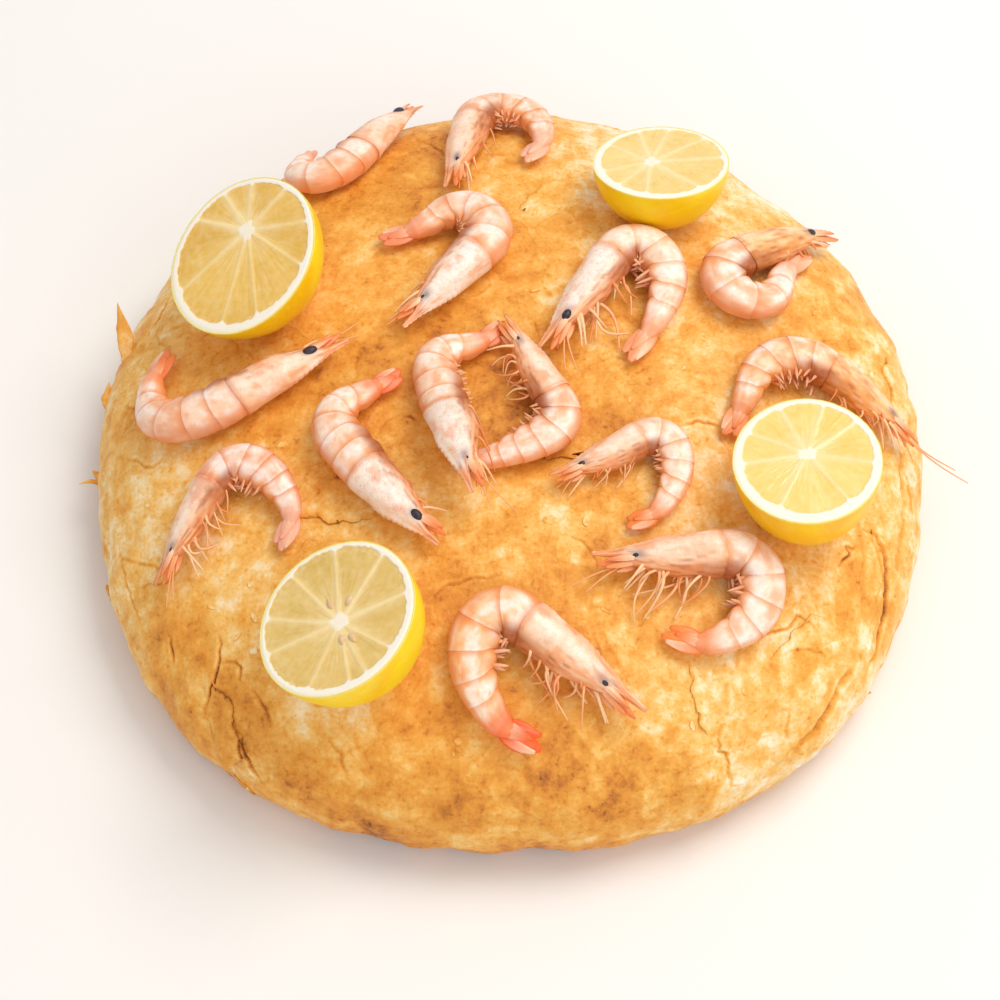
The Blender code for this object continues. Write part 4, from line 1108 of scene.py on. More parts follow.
@dataclass
class Shrimp:
    """One boiled shrimp on its side: head shell, lapping plates, fan, eyes, legs and feelers.

    sections holds share of the length, depth, width and shift: of the head up to its widest, then
    of the rear edge of each plate from first_plate on, and last of the root of the tail.
    """

    pose: ShrimpPose
    crown: Crown
    number: int
    full_length: float = 0.110
    head_share: float = 0.40
    resting_gap: float = 0.00035
    mid_rise: float = 0.0066
    eye_radius: float = 0.0019
    eye_share: float = 0.135
    limb_turn: float = math.radians(62.0)
    sides: int = 48
    few_legs: int = 5
    first_plate: int = 5
    sections: tuple = (
        (0.000, 0.0006, 0.0006, 0.0022), (0.075, 0.0024, 0.0020, 0.0020), (0.125, 0.0072, 0.0054, 0.0008),
        (0.250, 0.0148, 0.0108, 0.0), (0.385, 0.0168, 0.0128, 0.0), (0.480, 0.0172, 0.0130, 0.0),
        (0.560, 0.0168, 0.0126, 0.0), (0.640, 0.0154, 0.0114, 0.0), (0.715, 0.0134, 0.0098, 0.0),
        (0.780, 0.0112, 0.0080, 0.0), (0.865, 0.0086, 0.0060, 0.0), (0.920, 0.0044, 0.0030, 0.0),
    )

    def __post_init__(self) -> None:
        """Centre line: course = heading + 180 + side * eased bends, summed into places."""
        pose, self.share = self.pose, np.linspace(0.0, 1.0, 240)
        self.length = pose.length * MM
        self.scale = self.length / self.full_length
        self.girth = self.scale * pose.girth
        back = (self.share - self.head_share) / (1.0 - self.head_share)
        spans = ((0.0, 0.35), (0.25, 0.4), (0.6, 0.35))
        turned = sum(bend * ease(back, *span) for bend, span in zip(pose.bends, spans))
        self.course = np.radians(pose.heading + 180.0 + pose.side * turned)
        step = self.length / (len(self.share) - 1)
        steps = stacked(*rotate(step, 0.0, self.course))
        line = np.concatenate([[[0.0, 0.0]], np.cumsum(0.5 * (steps[1:] + steps[:-1]), axis=0)])
        waist = np.array([np.interp(self.head_share, self.share, column) for column in line.T])
        self.line = line - waist + np.array([pose.x, pose.y]) * MM
        self.bend_radius = 1.0 / np.maximum(np.abs(np.gradient(self.course, step)), 1.0)
        self.draws = np.random.default_rng(900 + self.number)

    def section(self, share: Array) -> Array:
        """Depth, width and shift of the body at a share of its length, straight between sections."""
        places, *columns = np.array(self.sections).T
        return self.girth * np.array([np.interp(share, places, column) for column in columns])

    def rise(self, share: Array, width: Array = 0.0) -> Array:
        """Height of the centre line above the crown, where the body rests by its own width.

        Args:
            share: Share of the length, from the tip of the head.
            width: Width of the body there, in metres.

        Returns:
            Height in metres.
        """
        middle, drop = self.mid_rise * self.girth, ease(share, 0.50, 0.35)
        resting = self.resting_gap + 0.5 * width + 0.35 * (middle - 0.5 * width)
        lift = self.pose.head_lift * MM * ease(share, 0.50, -0.22)
        return (1.0 - drop) * (middle + self.resting_gap) + drop * resting + lift

    def place(self, share: Array, aside: Array, rise: Array, ahead: Array = 0.0) -> Array:
        """Points at an offset towards the back and a rise, draped on the crown.

        Args:
            share: Share of the length, from the tip of the head.
            aside: Offset towards the shrimp's back, in metres.
            rise: Height above the crown, in metres.
            ahead: Offset towards the head, in metres.

        Returns:
            Points, with a last axis of 3.
        """
        share, aside, rise, ahead = np.broadcast_arrays(share, aside, rise, ahead)
        course, x, y = (np.interp(share, self.share, column) for column in (self.course, *self.line.T))
        x_off, y_off = rotate(-ahead, -self.pose.side * aside, course)
        return self.crown.drape(x + x_off, y + y_off, np.maximum(rise, self.resting_gap))

    def stations(self) -> Array:
        """Sections along the body: the head shell, then each plate with its lip folded under.

        Returns:
            Rows of share of the length, size factor, share of the plate, and 1 on the head, else 0.
        """
        stretches = ((0.0, 0.07, 10), (0.076, 0.13, 9), (0.137, 0.392, 36))
        head = np.concatenate([np.linspace(*stretch) for stretch in stretches])
        steps = np.array([0.0, 0.05, 0.11, 0.18, 0.26, 0.36, 0.48, 0.60, 0.72, 0.82, 0.90, 0.96, 1.0])
        swell = 0.978 + 0.022 * ease(steps, 0.0, 0.5) + 0.005 * ease(steps, 0.80, 0.2)
        parts = [(head, 1.0 + 0.018 * ease(head, 0.33, 0.06), ease(head, 0.0, 0.4), 1.0),
                 ([0.4003, 0.4006, 0.3960], [1.018, 1.002, 0.95], 1.0, 1.0)]
        ends = [self.head_share, *(row[0] for row in self.sections[self.first_plate : -1])]
        for start, end in zip(ends, ends[1:]):
            parts.append((start + 0.001 + (end - start - 0.001) * steps, swell, steps, 0.0))
            parts.append(([end + 0.0004, end - 0.0016], [0.995, 0.972], 1.0, 0.0))
        parts[-1] = ([0.875, 0.89, 0.905, 0.92], [0.93, 0.90, 0.85, 0.6], [0.2, 0.5, 0.8, 1.0], 0.0)
        return np.concatenate([stacked(*part, axis=0) for part in parts], axis=1)

    def build_body(self, draft: MeshDraft) -> None:
        """Adds the shell: oval rings whose rear edges bow back on the flanks and lap the next plate.

        Ring = centre + depth/2 cos a towards the back + width/2 sin a upwards, times the factor.

        Args:
            draft: Draft that gets the shell.
        """
        share, factor, phase, head = self.stations()[..., None]
        turn = turns(self.sides) + math.pi / self.sides
        cosine, sine, flank = np.cos(turn), np.sin(turn), np.abs(np.sin(turn))
        fade = ease(share, 0.36, 0.06) * (1.0 - ease(share, 0.78, 0.09))
        station = share + fade * (0.009 * flank**1.5 - 0.012 * ease(-cosine, 0.35, 0.6))
        depth, width, shift = self.section(station)
        groove = bell(station + 0.03 * cosine, 0.275, 0.008)
        groove = groove + 0.7 * bell(station - 0.05 * cosine, 0.20, 0.007)
        coarse, fine = (lattice_noise(station * 0.11, turn * 0.0085, cell, seed + self.number)
                        for cell, seed in ((0.0055, 0), (0.0021, 20)))
        size = factor - 0.03 * head * groove * flank + 0.014 * coarse + 0.010 * fine
        lobe = np.sin(math.pi * phase) * bell(cosine, -0.80, 0.22) * fade
        crest = head * ease(station, 0.30, -0.1) * ease(cosine, 0.9, 0.1)
        teeth = 0.5 + 0.5 * np.abs(np.sin(station * 150.0))
        aside = shift + 0.5 * depth * cosine * size + self.girth * (0.0011 * crest * teeth - 0.0013 * lobe)
        aside = np.maximum(aside, -0.85 * np.interp(station, self.share, self.bend_radius))
        rings = self.place(station, aside, self.rise(station, width) + 0.5 * width * sine * size)
        draft.tube(rings, *self.shell_tint(station, phase, head, turn))

    def shell_tint(self, station: Array, phase: Array, head: Array, turn: Array) -> tuple[Array, Array]:
        """Colours of the shell: pale plates, orange bands at their laps, redder tail and belly.

        The belly's orange and the back edge are deepened with painted shade, and the hollow behind the head
        is painted dark brown as shade.

        Args:
            station: Share of the length, (n, m).
            phase: Share of the plate, (n, 1).
            head: 1 on the head, else 0, (n, 1).
            turn: Turn from the back, (1, m).

        Returns:
            Tint, (n, m, 3), and speckle, (n, m).
        """
        main, pale, band = self.pose.shell.value
        head_main, head_pale, speckled, fibrous, orange = self.pose.head.value
        cosine, flank, around = np.cos(turn), np.abs(np.sin(turn)), np.arctan2(np.sin(turn), np.cos(turn))
        drift = 0.7 + 0.3 * lattice_noise(station * 0.4, around * 0.012, 0.010, 40 + self.number)
        patch = layered_noise(station * 0.11 * self.scale, around * 0.011, 0.0055, 60 + self.number)
        fibre = layered_noise(station * 0.030, around * 0.011, 0.0012, 80 + self.number, 2)
        # Painted shade: the hollow under the waist, between head and abdomen, is painted dark brown.
        painted_hollow_shade = ease(-cosine, 0.32, 0.40) * bell(station, 0.43, 0.13)
        tint = blend(
            main,
            (pale, 0.70 * bell(phase, 0.50, 0.32) * flank**0.8 * drift),
            (SHELL_WHITE, 0.80 * ease(patch, 0.02, 0.30) * ease(flank, 0.25, 0.35)),
            (band, 0.48 * ease(-patch, 0.10, 0.35)),
            (SHELL_WHITE, 0.30 * ease(phase, 0.84, 0.10) * ease(flank, 0.2, 0.3)),
            (band, 0.80 * ease(phase, 0.26, -0.26) * drift),
            # Deeper orange along the back edge: the back's own redder tone, with painted shade on it.
            (band, 0.75 * ease(cosine, 0.62, 0.34) * drift),
            # Orange underside: its own colour, deepened as painted shade on the inner side of the curl.
            (orange, 0.75 * ease(-cosine, 0.55, 0.3)),
            # Painted shade in the hollow behind the head.
            (FIBRE_BROWN_AND_HOLLOW_SHADE, 0.90 * painted_hollow_shade),
            (self.pose.tail, 0.75 * ease(station, 0.80, 0.08)),
        )
        threads = np.maximum(fibrous, np.maximum(ease(-cosine, 0.05, 0.4), ease(station, 0.15, -0.05)))
        smudge = bell(station, self.eye_share + 0.004, 0.024) * bell(cosine, 0.02, 0.42)
        head_tint = blend(
            head_main,
            (head_pale, 0.9 * bell(cosine, 0.25, 0.55) * flank + 0.3 * patch),
            (SHELL_WHITE, 0.45 * ease(patch, 0.1, 0.4) * ease(cosine, -0.1, 0.4)),
            (band, 0.45 * ease(-patch, 0.15, 0.3)),
            # Orange underside of the head: its own colour, deepened as painted shade.
            (orange, 0.75 * ease(-cosine, 0.40, 0.35)),
            (band, 0.6 * bell(station, 0.40, 0.010)),
            (orange, 0.8 * ease(station, 0.125, -0.05)),
            (FIBRE_BROWN_AND_HOLLOW_SHADE, 0.60 * ease(fibre, 0.05, 0.45) * threads),
            ("#fbd9b4", 0.55 * ease(-fibre, 0.15, 0.40) * threads),
            # Painted shade in the hollow behind the head.
            (FIBRE_BROWN_AND_HOLLOW_SHADE, 0.75 * painted_hollow_shade),
            ("#574250", 0.85 * smudge * (0.8 + 0.4 * patch)),
        )
        speckle = head * speckled * (0.35 + 0.65 * flank) * ease(station, 0.12, 0.05)
        speckle = speckle + 0.12 * (1.0 - head) * ease(station, 0.7, -0.1)
        return blend(tint, (head_tint, head)), speckle

    def blade(self, draft: MeshDraft, start: float, end: float, spread: float, depth: float, width: float,
              color: str, tip: str, lift: float) -> None:
        """Adds a flat leaf-shaped blade that leaves the centre line at an angle.

        Half breadth = depth/2 * sin(pi * (0.16 + 0.78 share)), with a rib along its middle.

        Args:
            draft: Draft that gets the blade.
            start: Share of the length where it starts.
            end: Share of the length where it ends.
            spread: Angle off the centre line, in degrees.
            depth: Breadth, in metres.
            width: Thickness, in metres.
            color: Colour of the root.
            tip: Colour of the tip.
            lift: Extra height, in metres.
        """
        share, turn, cosine = shares(22), turns(20), np.cos(turns(20))
        station = start + (end - start) * share
        swell = np.sin(math.pi * (0.16 + 0.78 * share))
        half, thick = 0.5 * depth * self.girth * swell, 0.5 * width * self.girth * (0.35 + 0.65 * swell)
        gone = np.abs(station - start) * self.length
        aside = gone * math.tan(math.radians(spread)) + half * cosine
        rib = 1.0 + 0.5 * bell(cosine, 0.0, 0.22) - 0.25 * bell(np.abs(cosine), 0.5, 0.12)
        rise = self.rise(station, 2.0 * thick) + lift + 0.62 * thick * np.sin(turn) * rib
        shade = blend(color, (tip, ease(share, 0.15, 0.8) + 0.12 * np.cos(3.0 * turn)))
        draft.tube(self.place(station, aside, rise), shade, 0.05)

    def build_fan(self, draft: MeshDraft) -> None:
        """Adds the tail fan, its middle spike and the flat scales beside the head spike.

        Args:
            draft: Draft that gets the blades.
        """
        tail = self.pose.tail
        for blade in (
            (0.850, 1.000, 5.0, 0.0084, 0.0030, tail, tail, 0.0),
            (0.850, 0.985, 11.0, 0.0060, 0.0022, tail, "#f8c9a8", 0.0006),
            (0.850, 0.985, -10.0, 0.0068, 0.0030, tail, tail, 0.0),
            (0.850, 0.965, -3.0, 0.0050, 0.0030, "#f7bf9c", tail, 0.0011),
            (0.165, 0.010, -5.0, 0.0042, 0.0024, "#f3a468", "#ef8440", 0.0),
            (0.160, 0.036, -12.0, 0.0034, 0.0020, "#f6bb8e", "#f09454", 0.0006),
            (0.165, 0.070, -20.0, 0.0040, 0.0022, "#e0783c", "#f6b27c", -0.0012),
            (0.150, 0.040, -3.0, 0.0024, 0.0016, "#fad4b0", "#ee8848", 0.0020),
        ):
            self.blade(draft, *blade)

    def build_eyes(self, draft: MeshDraft) -> None:
        """Adds two eyes: balls 1.6 times as long as wide, each on the side of the head.

        Args:
            draft: Draft that gets the eyes.
        """
        width = self.section(self.eye_share)[1]
        slope, turn = np.linspace(0.02, math.pi - 0.02, 16)[:, None], turns(24)
        ball = polar(np.sin(slope), turn, 1.6 * np.cos(slope))
        ball = 0.88 * self.pose.eye * self.eye_radius * self.scale * ball
        for side in (-1.0, 1.0):
            rise = self.rise(self.eye_share, width) + side * 0.31 * width
            middle, front, beside = (self.place(self.eye_share, aside, rise, ahead)
                                     for aside, ahead in ((0.0004, 0.0), (0.0004, 0.001), (0.0014, 0.0)))
            ahead = unit(front - middle)
            up = unit(np.cross(ahead, beside - middle))
            draft.tube(middle + ball @ np.stack([np.cross(up, ahead), up, ahead]), linear("#2c2530"), 0.0, 2)

    def build_limbs(self, draft: MeshDraft) -> None:
        """Adds the legs, each with two bends, the mouth limbs and the feelers, all tapering.

        Args:
            draft: Draft that gets the limbs.
        """
        pose, straw, amber = self.pose, "#f8cfa0", "#ee9a5c"
        lowest = (0.50, -0.018, -0.75, -0.30, 0.2, -0.3, 0.0005)
        highest = (1.15, 0.018, 0.55, 0.50, 1.4, 1.0, 0.0009)
        for leg in range(pose.legs):
            reach, shift, wave, knee, level, hue, thick = self.draws.uniform(lowest, highest)
            share = 0.19 + 0.19 * leg / max(pose.legs - 1, 1)
            depth, width, _ = self.section(share)
            share, root, reach = share + shift, -0.30 * depth, reach * pose.leg_reach * MM
            middle, way, knee = self.rise(share, width), self.limb_turn * (pose.sweep + wave), knee * reach
            aside, ahead = rotate(reach, 0.0, way)
            shin = middle * (0.25 + 0.6 * level) + 0.001
            path = np.array([
                (share, root, middle, 0.0),
                (share, root - 0.36 * aside, middle * (0.55 + 0.7 * level), 0.10 * ahead + knee),
                (share, root - 0.66 * aside, shin, 0.42 * ahead + 0.9 * knee),
                (share, root - aside, 0.0009 + 0.0028 * level, ahead - 0.4 * knee),
            ])
            self.limb(draft, path, thick, 0.00022, blend(amber, (straw, hue)), 2)
        long, short = (0.009, 0.014, 0.15, straw), (0.003, 0.006, 0.19, amber)
        for low, high, share, color in (*[long] * pose.palps, *[short] * 3):
            lowest, highest = (low, -0.35, -0.02, -0.0018), (high, 0.35, 0.02, 0.0018)
            reach, wave, shift, lift = self.draws.uniform(lowest, highest)
            way, reach, share = self.limb_turn * pose.sweep + wave, reach * self.scale, share + shift
            aside, ahead = rotate(reach, 0.0, way)
            start, level = -0.0028 * self.girth, self.rise(0.17)
            path = np.array([
                (share, start, level + lift, 0.0),
                (share, start - 0.45 * aside, level + 1.4 * lift, 0.4 * ahead),
                (share, start - aside, 0.55 * level + 1.5 * lift, ahead),
            ])
            self.limb(draft, path, 0.0008, 0.0002, color)
        part = np.linspace(0.0, 1.0, 4)
        for spread, reach, *lift in (*pose.feelers, (10.0, 9.0), (-9.0, 8.0)):
            spread, gone = math.radians(spread), reach * MM * part
            aside = -0.001 - gone * math.sin(spread) * (0.6 + 0.4 * part)
            level = self.rise(0.12) - 0.0022 * part + sum(lift) * MM * part**2
            path = stacked(0.11, aside, level, gone * math.cos(spread))
            self.limb(draft, path, 0.00045, 0.00018, blend(amber, (straw, 0.3)))

    def limb(self, draft: MeshDraft, path: Array, thick: float, thin: float, color: str | Array,
             cuts: int = 3) -> None:
        """Adds a tapering strand along a rounded path.

        Args:
            draft: Draft that gets the strand.
            path: Corners, each as share, aside, rise and ahead, (n, 4).
            thick: Radius at the root, in metres on a shrimp of full length.
            thin: Radius at the tip, likewise.
            color: Colour.
            cuts: How often the corners are cut.
        """
        points = self.place(*soften(path, cuts).T)
        radii = np.linspace(thick, thin, len(points)) * self.scale
        draft.tube(strand_rings(points, radii), linear(color), 0.0, 1)

    def build_paddles(self, draft: MeshDraft) -> None:
        """Adds rows of swimming paddles under the plates, each a leaf that points down and back.

        Args:
            draft: Draft that gets the paddles.
        """
        bushy, share, turn = min(1.0, self.pose.legs / 12.0), shares(9), turns(8)
        swell = self.scale * np.sin(math.pi * (0.18 + 0.75 * share))
        for number, root in enumerate(np.linspace(0.43, 0.69, 7)):
            depth, width, _ = self.section(root)
            radius = np.interp(root, self.share, self.bend_radius)
            inner = min(0.5 * depth, 0.80 * radius)
            longest = bushy * min(0.0046 * self.scale, max(0.0012, 0.70 * (radius - inner)))
            for row in (-0.25, 0.00, 0.25):
                reach, back = self.draws.uniform((0.5, -0.7), (1.1, 0.5))
                reach, level = reach * longest, self.rise(root, width) + row * width
                aside = -0.71 * inner - (reach + 0.29 * inner) * share
                rise = level * (1.0 - 0.12 * share) + 0.00045 * np.sin(turn) * swell
                ahead = reach * share * back + 0.0007 * np.cos(turn) * swell
                # Darker towards the root: the paddles' own deeper orange, with painted shade where they meet
                # the body in the hollow.
                shade = blend("#cc7442", ("#f7bd92", 0.9 * share + 0.05 * number * row))
                draft.tube(self.place(root, aside, rise, ahead), shade, 0.0, 1)

    def build(self, finishes: list) -> None:
        """Builds the shrimp as one piece, with paddles where its legs show.

        Args:
            finishes: Materials of the shell, the limbs and the eyes.
        """
        draft = MeshDraft()
        steps = [self.build_body, self.build_fan, self.build_eyes, self.build_limbs]
        if self.pose.legs > self.few_legs:
            steps.append(self.build_paddles)
        for step in steps:
            step(draft)
        node = f"shrimp_{self.number:02d}"
        draft.bake(f"boiled_{node}", node, "shrimp", finishes)


@dataclass(frozen=True)
class LemonPose:
    """One lemon piece: its place, oval face and depth, in mm and degrees, and how its flesh looks.

    core is where the wedges meet, in shares of the half axes, and skins the directions of the skins
    between them. pith is the width of the pith, thick_side the way it is thickest.
    """

    x: float
    y: float
    lean: float
    tilt: float
    half_width: float
    half_length: float
    depth: float
    turn: float
    core: tuple
    skins: tuple
    flesh: str
    deep: str
    pith: float = 0.10
    thick_side: float = 0.0
    seeds: tuple = ()
    rind: tuple = ("#fcc802", "#ffe018")


LEMON_POSES = (
    LemonPose(-93, 40, 24, 13, 29.0, 31.0, 21.0, -45, (-0.165, 0.276),
              (17, 54, 93, 126, 151, 179, 241, 295, 326), "#efc566", "#dfae4a", 0.105, 310.0),
    LemonPose(54, 87, 2, -18, 25.5, 25.5, 18.0, 0, (-0.155, 0.018), (6, 43, 79, 108, 145, 194, 224, 255, 308),
              "#f5d88c", "#eac771", 0.115, 230.0),
    LemonPose(96, -45, 5, -4, 25.5, 26.5, 24.0, 0, (0.0, 0.105), (40, 72, 110, 148, 181, 240, 306, 353),
              "#fbdc8a", "#f3ca68", 0.135, 260.0, rind=("#fdb400", "#ffd00a")),
    LemonPose(-53, -99, 22, 2, 27.5, 28.5, 24.0, -45, (0.084, -0.02),
              (8, 54, 97, 139, 177, 213, 243, 294, 328, 343), "#e8c576", "#d9b45c", 0.095, 0.0,
              ((-0.20, 0.08), (-0.02, 0.25), (0.37, -0.06), (0.28, -0.15))),
)


@dataclass
class LemonPiece:
    """A thick cut of lemon: wedges and core on its wet face, white pith, yellow rind."""

    pose: LemonPose
    crown: Crown
    number: int
    taper: float = 0.70
    end_rings: int = 14
    resting_gap: float = 0.00035
    turn_steps: int = 352
    flesh_rings: int = 74
    rim_rings: int = 20
    flank_rings: int = 44
    lattice_turns: float = 64.0 / math.pi

    def __post_init__(self) -> None:
        """Half axes of the oval face, in metres, and the unit axis of the cut, square to it."""
        pose = self.pose
        lean, tilt, spin = (math.radians(angle) for angle in (pose.lean, pose.tilt, pose.turn))
        upright = math.cos(lean)
        axis = np.array([-math.sin(lean), -math.sin(tilt) * upright, math.cos(tilt) * upright])
        wide = unit(np.cross([0.0, 1.0, 0.0], axis))
        first, second = rotate(wide, np.cross(axis, wide), -spin)
        self.axes = np.stack([first * pose.half_width * MM, second * pose.half_length * MM, axis])

    def wedge_look(self, turn: Array) -> tuple[Array, Array, Array, Array]:
        """Where each direction lies in its wedge.

        Args:
            turn: Directions round the face.

        Returns:
            Distance from the wedge's middle, 0 to 1 at its skin, angle to the nearest skin, the
            wedge's own draw, and a direction that runs on without a jump inside a wedge.
        """
        edges = np.radians([*self.pose.skins, self.pose.skins[0] + 360.0])
        draw = np.random.default_rng(300 + self.number).uniform(-1.0, 1.0, len(edges) - 1)
        direction = (turn - edges[0]) % FULL_TURN + edges[0]
        slot = np.clip(np.searchsorted(edges, direction, side="right") - 1, 0, len(draw) - 1)
        span = np.diff(edges)[slot]
        phase = np.abs(2.0 * (direction - edges[slot]) / span - 1.0)
        return phase, 0.5 * (1.0 - phase) * span, draw[slot], direction

    def build(self, finishes: list) -> None:
        """Builds the lemon piece: the cut face, the rounded edge, the flank and the round end.

        Below the flank the oval runs on to its end, flattened where it rests on the crust.

        Args:
            finishes: Materials of the flesh, the pith and the rind.
        """
        turn, depth, (rind, lighter) = turns(self.turn_steps), self.pose.depth * MM, self.pose.rind
        stretches = ((0.004, 0.86, self.flesh_rings), (0.87, 0.994, self.rim_rings))
        face = np.concatenate([np.linspace(*stretch) for stretch in stretches])[:, None]
        sunk, start = np.linspace(0.012, 1.0, self.flank_rings)[:, None] ** 1.15, math.asin(self.taper)
        bend = start + (0.5 * math.pi - 0.02 - start) * np.linspace(0.06, 1.0, self.end_rings)[:, None]
        relief, tint = self.face_look(face, turn)
        pores = lattice_noise(turn * self.lattice_turns, sunk * depth / 0.0013, 1.0, 320 + self.number)
        dents, patch = (
            lattice_noise(0.03 * np.cos(turn), 0.03 * np.sin(turn) + sunk * depth, cell, seed + self.number)
            for cell, seed in ((0.011, 325), (0.009, 340))
        )
        wobble = 1.0 + 0.010 * lattice_noise(np.cos(turn), np.sin(turn), 0.7, 330 + self.number)
        flank = np.sqrt(1.0 - (self.taper * sunk) ** 2) * wobble
        flank = flank - 0.0035 * ease(pores, 0.15, 0.5) + 0.006 * dents * ease(sunk, 0.0, 0.15)
        parts = ((wobble, face, relief), (flank, 1.0, -depth * sunk),
                 (np.cos(bend) * wobble, 1.0, -depth * np.sin(bend) / self.taper))
        radius, pull, height = np.concatenate([stacked(*part, axis=0) for part in parts], axis=1)
        side_tint = blend(rind, (lighter, 0.45 + 0.5 * patch), ("#f9e98a", ease(sunk, 0.06, -0.05)))
        end_tint = np.broadcast_to(linear(rind), (self.end_rings, self.turn_steps, 3))
        starts = (self.flesh_rings, self.flesh_rings + self.rim_rings - 1)
        draft = MeshDraft()
        rings, tints = self.seat(radius, pull, turn, height), np.concatenate([tint, side_tint, end_tint])
        draft.tube(rings, tints, 0.0, np.digitize(np.arange(len(radius) - 1), starts))
        self.add_seeds(draft)
        draft.bake(f"cut_lemon_{self.number}", f"lemon_piece_{self.number}", "lemon", finishes)

    def seat(self, radius: Array, pull: Array, turn: Array, height: Array) -> Array:
        """Points from radius, pull and height in the piece's own axes, seated on the crown.

        Face point = core * (1 - pull) + pull * radius * (cos t, sin t), so the skins run straight
        from the core. The piece moves along the crown's normal to the resting gap of its flank.

        Args:
            radius: Share of the half axes.
            pull: Share of the way from the core to the rim.
            turn: Direction in the face.
            height: Height over the face, in metres.

        Returns:
            Placed points.
        """
        place, core = (self.pose.x * MM, self.pose.y * MM), np.array(self.pose.core)
        normal, flank_end = self.crown.normal(*place), len(radius) - self.end_rings
        first = core[0] * (1.0 - pull) + pull * radius * np.cos(turn)
        second = core[1] * (1.0 - pull) + pull * radius * np.sin(turn)
        points = stacked(first, second, height) @ self.axes + self.crown.point(*place)
        low, high = -0.03, 0.08
        while high - low > 0.00001:
            middle = 0.5 * (low + high)
            free = self.crown.clearance(points[:flank_end] + middle * normal).min() > self.resting_gap
            low, high = (low, middle) if free else (middle, high)
        points = points + high * normal
        end = points[flank_end:]
        end[..., 2] += np.maximum(0.0, 1.1 * (self.resting_gap - self.crown.clearance(end)))
        self.middle = points[0].mean(axis=0) - core @ self.axes[:2]
        return points

    def face_look(self, face: Array, turn: Array) -> tuple[Array, Array]:
        """Relief and colours of the cut face.

        Flesh lies in wedges with rounded outer corners, parted by pale skins that meet in a white
        core, and is streaked from the core outwards by its juice sacs.

        Args:
            face: Share of the way from the core to the rim, (n, 1).
            turn: Directions, (1, m).

        Returns:
            Height, (n, m), and tint, (n, m, 3).
        """
        pose, membrane = self.pose, "#f9e2ac"
        phase, gap, draw, direction = self.wedge_look(turn)
        ragged, knob, sacs, fine, broad, star = (
            lattice_noise(*spot, 1.0, 350 + 10 * self.number + layer) for layer, spot in enumerate((
                (direction / 0.05, 0.0 * turn), (2.0 * np.cos(turn), 2.0 * np.sin(turn)),
                (direction / 0.055, face / 0.16 + 3.0 * draw), (direction / 0.024, face / 0.07),
                (direction / 0.35, face / 0.5), (direction / 0.045, face / 0.6),
            ))
        )
        ray = np.hypot(np.cos(turn) - pose.core[0], np.sin(turn) - pose.core[1])
        pith = pose.pith * (1.0 + 0.30 * np.cos(turn - math.radians(pose.thick_side)))
        reach = gap * face * ray
        skin = bell(reach, 0.0, 0.024 + 0.026 * (1.0 - face) ** 2) * ease(face, 0.02, 0.05)
        haze = bell(reach, 0.0, 0.075) * (0.5 + 0.5 * draw) + 0.8 * bell(face, 0.0, 0.30)
        rim = ease(face, 1.0 - pith / ray - 0.05 * phase**8 + 0.010 * ragged, 0.022)
        core = 1.0 - ease(face, (0.085 + 0.035 * knob) / ray, 0.05)
        flesh = 1.0 - np.maximum(np.maximum(rim, core), 0.7 * skin)
        starburst = ease(star, 0.35, 0.4) * bell(face, 0.22, 0.16)
        relief = MM * (flesh * (0.08 * sacs + 0.03 * fine - 0.32) - 0.35 * ease(face, 0.95, 0.05))
        return relief, blend(
            pose.flesh,
            (pose.deep, 0.45 + 0.16 * sacs + 0.08 * fine + 0.35 * broad + 0.15 * draw),
            (membrane, 0.46 * haze + 0.35 * starburst),
            (membrane, 0.85 * skin * (0.75 + 0.25 * draw)),
            ("#f9f1e2", np.maximum(rim, 0.9 * core)),
            ("#f9e67c", ease(face, 0.972, 0.02)),
        )

    def add_seeds(self, draft: MeshDraft) -> None:
        """Adds pale seeds: drops with their point to the core, half sunk in the flesh.

        Args:
            draft: Draft that gets the seeds.
        """
        share, cosine, sine = shares(16), np.cos(turns(16)), np.sin(turns(16))
        along, half = 0.15 * share - 0.07, 0.036 * np.sin(math.pi * share**0.75) ** 0.8 + 0.002
        rise = sine * (0.00005 + 0.0008 * np.sin(math.pi * share) ** 0.7) - 0.0002
        for first, second in self.pose.seeds:
            way = math.atan2(second - self.pose.core[1], first - self.pose.core[0])
            x, y = rotate(along, half * cosine, way)
            ring = self.middle + stacked(first + x, second + y, rise) @ self.axes
            draft.tube(ring, linear("#dcb98c"), 0.0, 1)


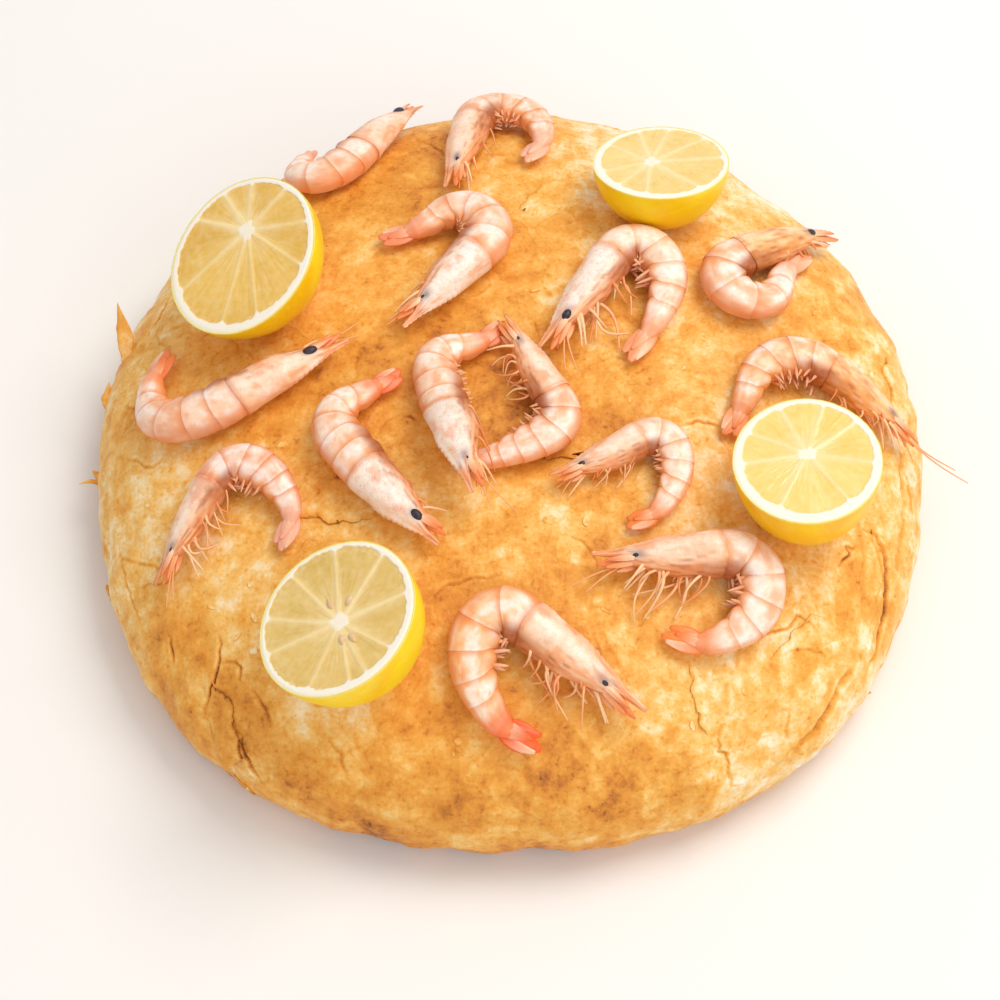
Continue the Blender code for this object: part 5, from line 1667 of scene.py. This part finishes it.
@dataclass(frozen=True)
class Studio:
    """Pale floor, soft daylight from behind on the right, and the camera."""

    aim: tuple = (0.0, 0.0, 0.03)
    distance: float = 0.850
    elevation: float = 57.0
    focal_px: float = 2253.0
    centre_px: tuple = (510.1, 454.0)
    target_height: float = 0.020
    frame_px: float = 1000.0
    sensor_mm: float = 36.0
    floor_reach: float = 4.0

    def add(self, name: str, data: bpy.types.ID) -> Piece:
        """Links a new object into the scene.

        Args:
            name: Name of the object.
            data: Its mesh, light or camera.

        Returns:
            The object.
        """
        thing = bpy.data.objects.new(name, data)
        bpy.context.scene.collection.objects.link(thing)
        return thing

    def floor(self) -> None:
        """Plain pale floor under the pie, wide enough to fill the view."""
        mesh, reach = bpy.data.meshes.new("studio_floor"), self.floor_reach
        corners = [(-reach, -reach, 0.0), (reach, -reach, 0.0), (reach, reach, 0.0), (-reach, reach, 0.0)]
        mesh.from_pydata(corners, [], [(0, 1, 2, 3)])
        material, tree, shader = new_material("matte_paper")
        feed(tree, shader, {"Base Color": (*linear("#f2f0ef"), 1.0), "Roughness": 0.8})
        mesh.materials.append(material)
        floor = self.add("studio_floor", mesh)

    def light(self, name: str, place: tuple, size: float, power: float, color: str) -> None:
        """One square area light that faces the pie.

        Args:
            name: Name of the light.
            place: Where it stands, in metres.
            size: Side of the square, in metres.
            power: Power in watts.
            color: Hex colour.
        """
        data = bpy.data.lights.new(name, "AREA")
        data.size, data.energy, data.color = size, power, linear(color)
        lamp = self.add(name, data)
        lamp.location = place
        lamp.rotation_euler = (Vector(self.aim) - Vector(place)).to_track_quat("-Z", "Y").to_euler()

    def camera(self) -> None:
        """Camera fitted to the photograph: its height angle, distance, focal length and small shift."""
        data = bpy.data.cameras.new("camera")
        camera, angle = self.add("camera", data), math.radians(self.elevation)
        back = Vector((0.0, -math.cos(angle), math.sin(angle)))
        up = Vector((0.0, math.sin(angle), math.cos(angle)))
        matrix = Matrix((Vector((1.0, 0.0, 0.0)), up, back)).transposed().to_4x4()
        matrix.translation = Vector((0.0, 0.0, self.target_height)) + back * self.distance
        camera.matrix_world = matrix
        data.sensor_width = self.sensor_mm
        data.lens = self.focal_px * self.sensor_mm / self.frame_px
        data.shift_x = -(self.centre_px[0] - 0.5 * self.frame_px) / self.frame_px
        data.shift_y = (self.centre_px[1] - 0.5 * self.frame_px) / self.frame_px
        bpy.context.scene.camera = camera

    def build(self) -> None:
        """Builds the floor, the lights, the sky and the camera."""
        self.floor()
        self.light("window", (0.75, 0.45, 1.6), 1.0, 17.8, "#fffaf2")
        self.light("reflector", (0.5, -1.2, 1.1), 1.2, 6.5, "#fff8f0")
        world = bpy.data.worlds.new("sky")
        bpy.context.scene.world = world
        world.use_nodes = True
        sky = {"Color": (*linear("#fdfcfa"), 1.0), "Strength": 0.63}
        feed(world.node_tree, world.node_tree.nodes["Background"], sky)
        bpy.context.scene.view_settings.view_transform = "Standard"
        self.camera()


def main() -> None:
    """Builds the crust, the shrimps, the lemons and the studio."""
    logging.basicConfig(level=logging.INFO, format="%(name)s %(message)s")
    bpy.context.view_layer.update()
    crown, keep_off = Crown(), []
    shell = TintedFlesh("boiled_shell", roughness=0.40, coat=0.20, depth_mm=1.6, subsurface=0.11,
                        mottle_mm=2.4, mottle_color="#f09454", mottle_share=0.26, bump_mm=0.08)
    limb = TintedFlesh("boiled_limb", roughness=0.42, coat=0.15, depth_mm=1.0, subsurface=0.15,
                       mottle_mm=3.0, mottle_color="#f6b98a", mottle_share=0.20, bump_mm=0.02)
    eye = TintedFlesh("dark_eye", roughness=0.42, coat=0.08, depth_mm=0.2, subsurface=0.0,
                      mottle_mm=1.2, mottle_color="#5c4c58", mottle_share=0.40, bump_mm=0.05)
    shrimp_finishes = [finish.make() for finish in (shell, limb, eye)]
    for number, pose in enumerate(SHRIMP_POSES, start=1):
        shrimp = Shrimp(pose, crown, number)
        shrimp.build(shrimp_finishes)
        half_depth = 0.5 * shrimp.sections[shrimp.first_plate][1]
        keep_off.extend((*place, half_depth) for place in shrimp.line[::16])
    flesh = TintedFlesh("lemon_flesh", roughness=0.30, coat=0.25, depth_mm=3.0, subsurface=0.25,
                        mottle_mm=3.5, mottle_color="#fff0c4", mottle_share=0.20, bump_mm=0.06,
                        bump_grain_mm=1.6)
    pith = TintedFlesh("lemon_pith", roughness=0.60, coat=0.0, depth_mm=2.0, subsurface=0.20,
                       mottle_mm=2.0, mottle_color="#fffaf0", mottle_share=0.20, bump_mm=0.05)
    rind = TintedFlesh("lemon_rind", roughness=0.38, coat=0.08, depth_mm=1.0, subsurface=0.05,
                       mottle_mm=6.0, mottle_color="#ffde20", mottle_share=0.20, bump_mm=0.20,
                       bump_grain_mm=1.3)
    lemon_finishes = [finish.make() for finish in (flesh, pith, rind)]
    for number, pose in enumerate(LEMON_POSES, start=1):
        LemonPiece(pose, crown, number).build(lemon_finishes)
        keep_off.append((pose.x * MM, pose.y * MM, pose.half_length * MM))
    Crust(crown, BakedPastry().make()).build(np.array(keep_off))
    Studio().build()
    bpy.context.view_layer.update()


if __name__ == "__main__":
    main()
